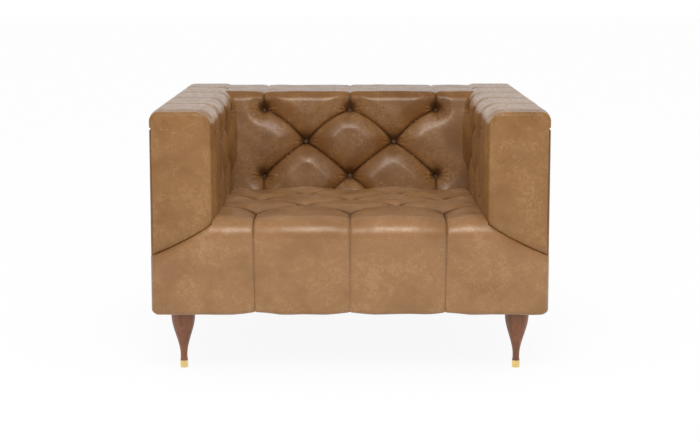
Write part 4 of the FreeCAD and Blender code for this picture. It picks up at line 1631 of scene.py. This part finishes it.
@dataclass(frozen=True)
class LeatherFinish:
    """Waxed, mottled leather with pale scars and dark creases, partly their dirt and partly painted
    shade.
    """

    name: str = "tan_leather"
    dark: Color = (0.225, 0.098, 0.026)
    middle: Color = (0.282, 0.136, 0.045)
    light: Color = (0.335, 0.172, 0.062)
    scar: Color = (0.50, 0.30, 0.14)
    # Colour of the creases' dirt, also used as painted shade in valleys, tuft hollows and above the
    # buttons
    crease: Color = (0.050, 0.018, 0.005)
    shine: float = 0.30
    coat: float = 0.18

    def material(self) -> bpy.types.Material:
        """The leather, made once and shared.

        Returns:
            The material.
        """
        if self.name in bpy.data.materials:
            return bpy.data.materials[self.name]
        bench = NodeBench(self.name)
        clouds = bench.noise(scale=9.0, detail=3.0, rough=0.55, warp=0.4)
        patches = bench.noise(scale=58.0, detail=6.0, rough=0.66, warp=0.9)
        blotches = bench.noise(scale=150.0, detail=4.0, rough=0.6, warp=0.3)
        tone = bench.math("MULTIPLY", clouds, 0.32)
        tone = bench.math("ADD", tone, bench.math("MULTIPLY", patches, 0.46))
        tone = bench.math("ADD", tone, bench.math("MULTIPLY", blotches, 0.22))
        color = bench.mix(bench.span(tone, 0.40, 0.50), self.light, self.middle)
        color = bench.mix(bench.span(clouds, 0.48, 0.68, 0.0, 0.75), color, self.dark)
        waves = bench.noise(scale=64.0, detail=5.0, rough=0.6, warp=1.2)
        veins = bench.math("ABSOLUTE", bench.math("SUBTRACT", waves, 0.5))
        worn = bench.span(bench.noise(scale=16.0, detail=3.0, rough=0.6), 0.46, 0.62)
        scars = bench.math("MULTIPLY", bench.span(veins, 0.0, 0.016, 1.0, 0.0), worn)
        color = bench.mix(bench.math("MULTIPLY", scars, 0.85), color, self.scar)
        cells = bench.node("ShaderNodeTexVoronoi", Vector=bench.place, Scale=260.0, Randomness=1.0)
        specks = bench.math("LESS_THAN", cells.outputs["Distance"], 0.16)
        chosen = bench.math("GREATER_THAN", bench.noise(scale=120.0, detail=1.0), 0.54)
        specks = bench.math("MULTIPLY", specks, chosen)
        color = bench.mix(bench.math("MULTIPLY", specks, 0.40), color, self.scar)
        fold = bench.node("ShaderNodeAttribute", {"attribute_name": "fold"}).outputs["Fac"]
        # Darkens by the fold attribute: crease dirt and stitch lines, and painted shade in the creases,
        # valleys, tuft hollows and above the buttons
        color = bench.mix(bench.span(fold, 0.05, 1.0, 0.0, 0.82), color, self.crease)
        roughness = bench.span(patches, 0.3, 0.7, self.shine - 0.04, self.shine + 0.10)
        smooth_cells = {"feature": "SMOOTH_F1"}
        grain = bench.node("ShaderNodeTexVoronoi", smooth_cells, Vector=bench.place, Scale=620.0)
        normal = bench.bump(grain.outputs["Distance"], 0.22 * MILLIMETRE, 0.5)
        normal = bench.bump(blotches, 0.5 * MILLIMETRE, 0.5, normal)
        normal = bench.bump(bench.noise(scale=30.0, detail=2.0), 1.4 * MILLIMETRE, 0.5, normal)
        return bench.finish(
            color, roughness, normal, Specular_IOR_Level=0.5, Specular_Tint=(1.0, 0.86, 0.72, 1.0),
            Coat_Weight=self.coat, Coat_Roughness=0.22, Coat_Tint=(1.0, 0.93, 0.86, 1.0),
        )


@dataclass(frozen=True)
class WoodFinish:
    """Wood with grain that runs along one axis."""

    name: str
    dark: Color
    light: Color
    roughness: float
    grain_axis: int = 2
    fineness: float = 1.0
    coat: float = 0.0

    def material(self) -> bpy.types.Material:
        """The wood, made once and shared.

        Returns:
            The material.
        """
        if self.name in bpy.data.materials:
            return bpy.data.materials[self.name]
        bench = NodeBench(self.name)
        stretch = [60.0 * self.fineness] * 3
        stretch[self.grain_axis] = 4.5 * self.fineness
        along = bench.scaled(*stretch)
        figure = bench.noise(scale=1.0, detail=4.0, rough=0.6, warp=1.4, place=along)
        fine = [420.0 * self.fineness] * 3
        fine[self.grain_axis] = 14.0
        pores = bench.noise(scale=1.0, detail=2.0, warp=0.2, place=bench.scaled(*fine))
        color = bench.mix(bench.span(figure, 0.32, 0.68), self.dark, self.light)
        darker = tuple(0.5 * value for value in self.dark)
        color = bench.mix(bench.span(pores, 0.56, 0.70, 0.0, 0.55), color, darker)
        normal = bench.bump(pores, 0.3 * MILLIMETRE, 0.35)
        rough = bench.span(figure, 0.3, 0.7, self.roughness - 0.04, self.roughness + 0.06)
        return bench.finish(color, rough, normal, Coat_Weight=self.coat, Coat_Roughness=0.18)


@dataclass(frozen=True)
class MetalFinish:
    """Turned or drawn metal."""

    name: str
    color: Color
    roughness: float

    def material(self) -> bpy.types.Material:
        """The metal, made once and shared.

        Returns:
            The material.
        """
        if self.name in bpy.data.materials:
            return bpy.data.materials[self.name]
        bench = NodeBench(self.name)
        rings = bench.noise(scale=1.0, detail=2.0, place=bench.scaled(30.0, 30.0, 1800.0))
        cloud = bench.noise(scale=90.0, detail=3.0)
        duller = tuple(0.88 * value for value in self.color)
        color = bench.mix(bench.span(cloud, 0.3, 0.7), duller, self.color)
        rough = bench.span(rings, 0.3, 0.7, self.roughness - 0.03, self.roughness + 0.08)
        return bench.finish(color, rough, bench.bump(rings, 0.08 * MILLIMETRE, 0.3), Metallic=1.0)


@dataclass(frozen=True)
class ClothFinish:
    """Woven, felted or foamed goods inside the chair and under it."""

    name: str
    color: Color
    thread: float
    woven: bool = True
    roughness: float = 0.9

    def material(self) -> bpy.types.Material:
        """The cloth, made once and shared.

        Returns:
            The material.
        """
        if self.name in bpy.data.materials:
            return bpy.data.materials[self.name]
        bench = NodeBench(self.name)
        cloud = bench.noise(scale=24.0, detail=5.0, rough=0.6)
        dark = tuple(0.62 * value for value in self.color)
        if self.woven:
            waves = []
            for axis in ("X", "Y", "Z"):
                settings = {"wave_type": "BANDS", "bands_direction": axis, "wave_profile": "SIN"}
                scale = 0.31 / self.thread
                wave = bench.node(
                    "ShaderNodeTexWave", settings, Vector=bench.place, Scale=scale, Distortion=0.3
                )
                waves.append(wave.outputs["Fac"])
            flat = bench.math("ADD", waves[0], waves[1])
            height = bench.math("MULTIPLY", flat, bench.math("ADD", waves[2], 0.4))
        else:
            cells = bench.node("ShaderNodeTexVoronoi", Vector=bench.place, Scale=1.0 / self.thread)
            height = cells.outputs["Distance"]
        color = bench.mix(bench.span(height, 0.1, 1.2), dark, self.color)
        color = bench.mix(bench.span(cloud, 0.35, 0.7, 0.0, 0.35), color, dark)
        return bench.finish(color, self.roughness, bench.bump(height, self.thread * 0.5, 0.6))


LEATHER = LeatherFinish()
# Lighter copy of the leather: painted light on the seat and its front border
SEAT_LEATHER_PAINTED_LIGHT = LeatherFinish(
    "seat_leather_painted_light", dark=(0.272, 0.134, 0.053), middle=(0.332, 0.169, 0.070), light=(0.390, 0.210, 0.095)
)
# Darker copy of the leather: painted shade on the recessed inside back
BACK_LEATHER_PAINTED_SHADE = LeatherFinish(
    "back_leather_painted_shade", dark=(0.186, 0.076, 0.019), middle=(0.234, 0.102, 0.028), light=(0.286, 0.138, 0.046),
    shine=0.31, coat=0.22,
)
# Buttons coloured nearly as dark as the crease colour: painted shade at the bottom of each tuft
BUTTON_LEATHER_PAINTED_SHADE = LeatherFinish(
    "covered_button_painted_shade", dark=(0.045, 0.017, 0.005), middle=(0.065, 0.026, 0.008), light=(0.09, 0.04, 0.013),
    scar=(0.13, 0.06, 0.02), shine=0.48,
)


@dataclass(frozen=True)
class Carried:
    """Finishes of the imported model's own solids, by material slot."""

    walnut: WoodFinish = WoodFinish(
        "leg_walnut", (0.200, 0.066, 0.024), (0.330, 0.122, 0.048), roughness=0.42, coat=0.12
    )
    beech: WoodFinish = WoodFinish(
        "frame_beech", (0.42, 0.27, 0.14), (0.56, 0.39, 0.22), roughness=0.62, grain_axis=0
    )
    plywood: WoodFinish = WoodFinish(
        "frame_plywood", (0.45, 0.31, 0.17), (0.60, 0.45, 0.28), roughness=0.6, fineness=0.7
    )

    def finish_for(self, slot: str) -> bpy.types.Material:
        """Material for one slot of the record.

        Args:
            slot: The slot's name.

        Returns:
            The material.
        """
        finishes = {
            "button_leather": BUTTON_LEATHER_PAINTED_SHADE,
            "leather": LEATHER,
            "leg_wood": self.walnut,
            "ferrule_brass": MetalFinish("turned_brass", (0.90, 0.66, 0.27), 0.22),
            "frame_wood": self.beech,
            "plywood": self.plywood,
            "foam": ClothFinish("open_foam", (0.72, 0.62, 0.38), 0.0016, False),
            "wadding": ClothFinish("fibre_wadding", (0.80, 0.78, 0.72), 0.004, False),
            "burlap": ClothFinish("jute_burlap", (0.36, 0.24, 0.12), 0.0018),
            "webbing": ClothFinish("jute_webbing", (0.26, 0.18, 0.09), 0.0022),
            "twine": ClothFinish("waxed_twine", (0.62, 0.56, 0.43), 0.0008),
            "dust_cloth": ClothFinish("black_dust_cloth", (0.012, 0.012, 0.013), 0.0011),
            "spring_steel": MetalFinish("oiled_spring_steel", (0.30, 0.31, 0.33), 0.38),
            "zinc_steel": MetalFinish("zinc_plate", (0.62, 0.64, 0.66), 0.32),
        }
        return finishes[slot].material()

    def dress_nodes(self) -> int:
        """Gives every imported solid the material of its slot.

        Returns:
            The number of solids' nodes.
        """
        entries = frame["record"]["subparts"]
        for entry in entries:
            node = frame["nodes"][entry["node"]]
            material = self.finish_for(entry["material_slot"])
            if not node.material_slots:
                node.data.materials.append(material)
            for slot in node.material_slots:
                slot.material = material
        return len(entries)


# The outside panels


@dataclass
class Outside:
    """Facings, outside arms and outside back."""

    finish: LeatherFinish
    seam_inset: float = 0.004
    seam_gap: float = 0.0004
    soft_radius: float = 0.010
    frame_gap: float = 0.0002
    outer_corner_radius: float = 0.020
    inner_corner_radius: float = 0.031
    quiet_lip: float = 0.16
    edge_gap: float = 0.001
    outside_seam_gap: float = 0.0012
    back_inset: float = 0.005
    back_corner_radius: float = 0.018
    large_grid: float = 0.014

    def facing(self, side: Side) -> bpy.types.Object:
        """Panel on the front end of an arm, above the curved seam.

        Args:
            side: The arm's side.

        Returns:
            The finished panel.
        """
        inset, sign = self.seam_inset, side.value
        inner, outer = BODY.arm_inside_x + self.soft_radius - 0.0003, BODY.half_width - inset
        top = BODY.arm_top_z - inset
        low_inner = float(seam_height(np.array(inner))) + self.seam_gap
        low_outer = float(seam_height(np.array(outer))) + self.seam_gap
        corners = [
            (inner, low_inner, 0.0), (outer, low_outer, 0.0),
            (outer, top, self.outer_corner_radius), (inner, top, self.inner_corner_radius),
        ]

        def lip_share(x: Array, z: Array) -> Array:
            """Quietens the lip on the inner side and above the seam, where the leather runs on.

            Args:
                x: Places across the chair.
                z: Heights.

            Returns:
                How much of the lip there is, from 0 to 1.
            """
            beside = ease(np.abs(x), inner + 0.006, inner + 0.030)
            above = ease(z, top - self.inner_corner_radius, top)
            below = 0.4 + 0.6 * ease(z - seam_height(x), 0.008, 0.030)
            return np.maximum(beside * below, above) * (1.0 - self.quiet_lip) + self.quiet_lip

        if side is Side.RIGHT:
            turned = (corners[1], corners[0], corners[3], corners[2])
            corners = [(-x, z, radius) for x, z, radius in turned]
        panel = SewnPanel(
            side.word + "_facing_panel", Plane.FRONT, corners, BODY.facing_y, -1.0,
            BODY.frame_front_y - BODY.facing_y - self.frame_gap,
            crown=0.0035, seed=40 + sign, lip_share=lip_share,
        )
        piece = panel.build(lambda x: seam_height(x) + self.seam_gap, edge_cuts=7)
        return dress(piece, self.finish, 0.9, side.word + "_arm_facing", "facing_pads")

    def outside_arm(self, side: Side) -> bpy.types.Object:
        """Panel on the outside of an arm, from the underside to the outside seam.

        Args:
            side: The arm's side.

        Returns:
            The finished panel.
        """
        front, rear = BODY.facing_y + 2.0 * self.edge_gap, BODY.back_y - REAR_SKIN
        low, high = BODY.underside_z + self.edge_gap, BODY.outside_seam_z - self.outside_seam_gap
        corners = [(front, low, 0.0), (rear, low, 0.0), (rear, high, 0.0), (front, high, 0.0)]
        panel = SewnPanel(
            side.word + "_outside_panel", Plane.SIDE, corners,
            side.value * BODY.half_width, float(side.value),
            BODY.half_width - BODY.frame_side_x - self.frame_gap,
            crown=0.0035, crown_width=0.12, lip_radius=0.006, grid=self.large_grid, seed=50 + side.value,
        )
        return dress(panel.build(), self.finish, 0.9, side.word + "_outside_arm_cover")

    def outside_back(self) -> bpy.types.Object:
        """Panel across the whole rear of the chair.

        Returns:
            The finished panel.
        """
        half = BODY.half_width - self.back_inset
        top = BODY.back_top_z - self.back_inset - self.edge_gap
        low = BODY.underside_z + self.edge_gap
        corners = [
            (-half, low, 0.0), (half, low, 0.0),
            (half, top, self.back_corner_radius), (-half, top, self.back_corner_radius),
        ]
        panel = SewnPanel(
            "outside_back_panel", Plane.FRONT, corners, BODY.back_y, 1.0,
            BODY.back_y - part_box("rear_top_rail")[1][1] - self.frame_gap,
            crown=0.004, crown_width=0.14, lip_radius=0.005, grid=self.large_grid, seed=61,
        )
        return dress(panel.build(), self.finish, 0.9, "outside_back_cover", "outside_wadding")


# Studio


@dataclass(frozen=True)
class Studio:
    """Pale floor, white surroundings, one soft lamp and the camera."""

    camera_place: tuple[float, float, float] = (0.0, -4.140, 1.0884)
    camera_pitch: float = 10.14
    lens: float = 72.0
    sensor_width: float = 36.0
    ambient: float = 0.74
    room: float = 0.22
    backdrop_fade: Point = (0.20, 0.55)
    backdrop_sides: Point = (-0.10, 0.45)
    floor_size: float = 60.0
    floor_tone: float = 0.85
    floor_white: float = 0.90
    floor_glow: float = 1.025
    lamp_place: Corner = (0.0, -2.7, 3.0)
    lamp_target: Corner = (0.0, 0.0, 0.45)
    lamp_size: float = 1.4
    lamp_power: float = 50.0

    def build(self) -> None:
        """Sets up everything round the chair."""
        self._camera()
        self._world()
        self._floor()
        self._lamp()
        bpy.context.scene.view_settings.view_transform = "Standard"

    def _camera(self) -> None:
        """Camera at the photograph's viewing angle."""
        data = bpy.data.cameras.new("camera")
        data.lens = self.lens
        data.sensor_width = self.sensor_width
        data.sensor_fit = "HORIZONTAL"
        camera = bpy.data.objects.new("camera", data)
        camera.location = self.camera_place
        camera.rotation_euler = (math.radians(90.0 - self.camera_pitch), 0.0, 0.0)
        bpy.context.scene.collection.objects.link(camera)
        bpy.context.scene.camera = camera

    def _seen(self, tree: bpy.types.NodeTree) -> bpy.types.NodeSocket:
        """One for rays from the camera or off a glossy or clear surface.

        Args:
            tree: Node tree that asks.

        Returns:
            The output that says so.
        """
        paths = tree.nodes.new("ShaderNodeLightPath")
        total = paths.outputs["Is Camera Ray"]
        for name in ("Is Glossy Ray", "Is Transmission Ray"):
            step = tree.nodes.new("ShaderNodeMath")
            step.operation = "MAXIMUM"
            tree.links.new(total, step.inputs[0])
            tree.links.new(paths.outputs[name], step.inputs[1])
            total = step.outputs[0]
        return total

    @staticmethod
    def _span(tree: bpy.types.NodeTree, *values: object) -> bpy.types.NodeSocket:
        """Maps a value from one span to another.

        Args:
            tree: Node tree that asks.
            *values: The value, both ends of its span, and what they become.

        Returns:
            The mapped value.
        """
        node = tree.nodes.new("ShaderNodeMapRange")
        for socket, value in zip(node.inputs, values):
            if isinstance(value, bpy.types.NodeSocket):
                tree.links.new(value, socket)
            else:
                socket.default_value = value
        return node.outputs[0]

    def _world(self) -> None:
        """White world that lights the chair softly."""
        world = bpy.data.worlds.new("studio")
        world.use_nodes = True
        tree = world.node_tree
        background = tree.nodes["Background"]
        background.inputs["Color"].default_value = (1.0, 1.0, 1.0, 1.0)
        way = tree.nodes.new("ShaderNodeSeparateXYZ")
        tree.links.new(tree.nodes.new("ShaderNodeTexCoord").outputs["Generated"], way.inputs[0])
        band = self._span(tree, way.outputs["Z"], *self.backdrop_fade, 1.0, 0.0)
        rear = self._span(tree, way.outputs["Y"], *self.backdrop_sides, 0.0, 1.0)
        backdrop = tree.nodes.new("ShaderNodeMath")
        backdrop.operation = "MULTIPLY"
        tree.links.new(band, backdrop.inputs[0])
        tree.links.new(rear, backdrop.inputs[1])
        mirrored = self._span(tree, backdrop.outputs[0], 0.0, 1.0, self.room, 1.0)
        paths = tree.nodes.new("ShaderNodeLightPath")
        lit = self._span(tree, self._seen(tree), 0.0, 1.0, self.ambient, mirrored)
        strength = self._span(tree, paths.outputs["Is Camera Ray"], 0.0, 1.0, lit, 1.0)
        tree.links.new(strength, background.inputs["Strength"])
        bpy.context.scene.world = world

    def _floor(self) -> None:
        """Pale floor that shows white and keeps a faint shadow."""
        pick_nothing()
        bpy.ops.mesh.primitive_plane_add(size=self.floor_size, location=(0.0, 0.0, 0.0))
        floor = bpy.context.active_object
        floor.name = "floor"
        material = bpy.data.materials.new("floor")
        material.use_nodes = True
        tree = material.node_tree
        tree.nodes.remove(tree.nodes["Principled BSDF"])
        matt = tree.nodes.new("ShaderNodeBsdfDiffuse")
        matt.inputs["Color"].default_value = (self.floor_tone, self.floor_tone, self.floor_tone, 1.0)
        glow = tree.nodes.new("ShaderNodeEmission")
        glow.inputs["Color"].default_value = (1.0, 1.0, 1.0, 1.0)
        glow.inputs["Strength"].default_value = self.floor_glow
        share = tree.nodes.new("ShaderNodeMath")
        share.operation = "MULTIPLY"
        tree.links.new(self._seen(tree), share.inputs[0])
        share.inputs[1].default_value = self.floor_white
        both = tree.nodes.new("ShaderNodeMixShader")
        tree.links.new(share.outputs[0], both.inputs[0])
        tree.links.new(matt.outputs[0], both.inputs[1])
        tree.links.new(glow.outputs[0], both.inputs[2])
        tree.links.new(both.outputs[0], tree.nodes["Material Output"].inputs["Surface"])
        floor.data.materials.append(material)

    def _lamp(self) -> None:
        """Square softbox in front of the chair, aimed at its seat."""
        data = bpy.data.lights.new("softbox", "AREA")
        data.shape = "SQUARE"
        data.size = self.lamp_size
        data.energy = self.lamp_power
        lamp = bpy.data.objects.new("softbox", data)
        lamp.location = self.lamp_place
        way = np.array(self.lamp_target) - np.array(self.lamp_place)
        pitch = math.acos(-way[2] / float(np.linalg.norm(way)))
        lamp.rotation_euler = (pitch, 0.0, math.atan2(way[1], way[0]) - math.pi / 2.0)
        bpy.context.scene.collection.objects.link(lamp)


def main() -> None:
    """Builds the studio and the chair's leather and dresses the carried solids."""
    Studio().build()
    log.info("carried nodes: %d", Carried().dress_nodes())
    pieces = [TuftedBack(BACK_LEATHER_PAINTED_SHADE).build(), TuftedSeat(SEAT_LEATHER_PAINTED_LIGHT).build()]
    outside = Outside(LEATHER)
    for side in Side:
        pieces.append(TuftedArm(LEATHER, side).build())
        pieces.append(outside.facing(side))
        pieces.append(outside.outside_arm(side))
    pieces.append(outside.outside_back())
    for piece in pieces:
        log.info("%s: %d triangles", piece.name, triangles(piece))
    pick_nothing()


if __name__ == "__main__":
    main()
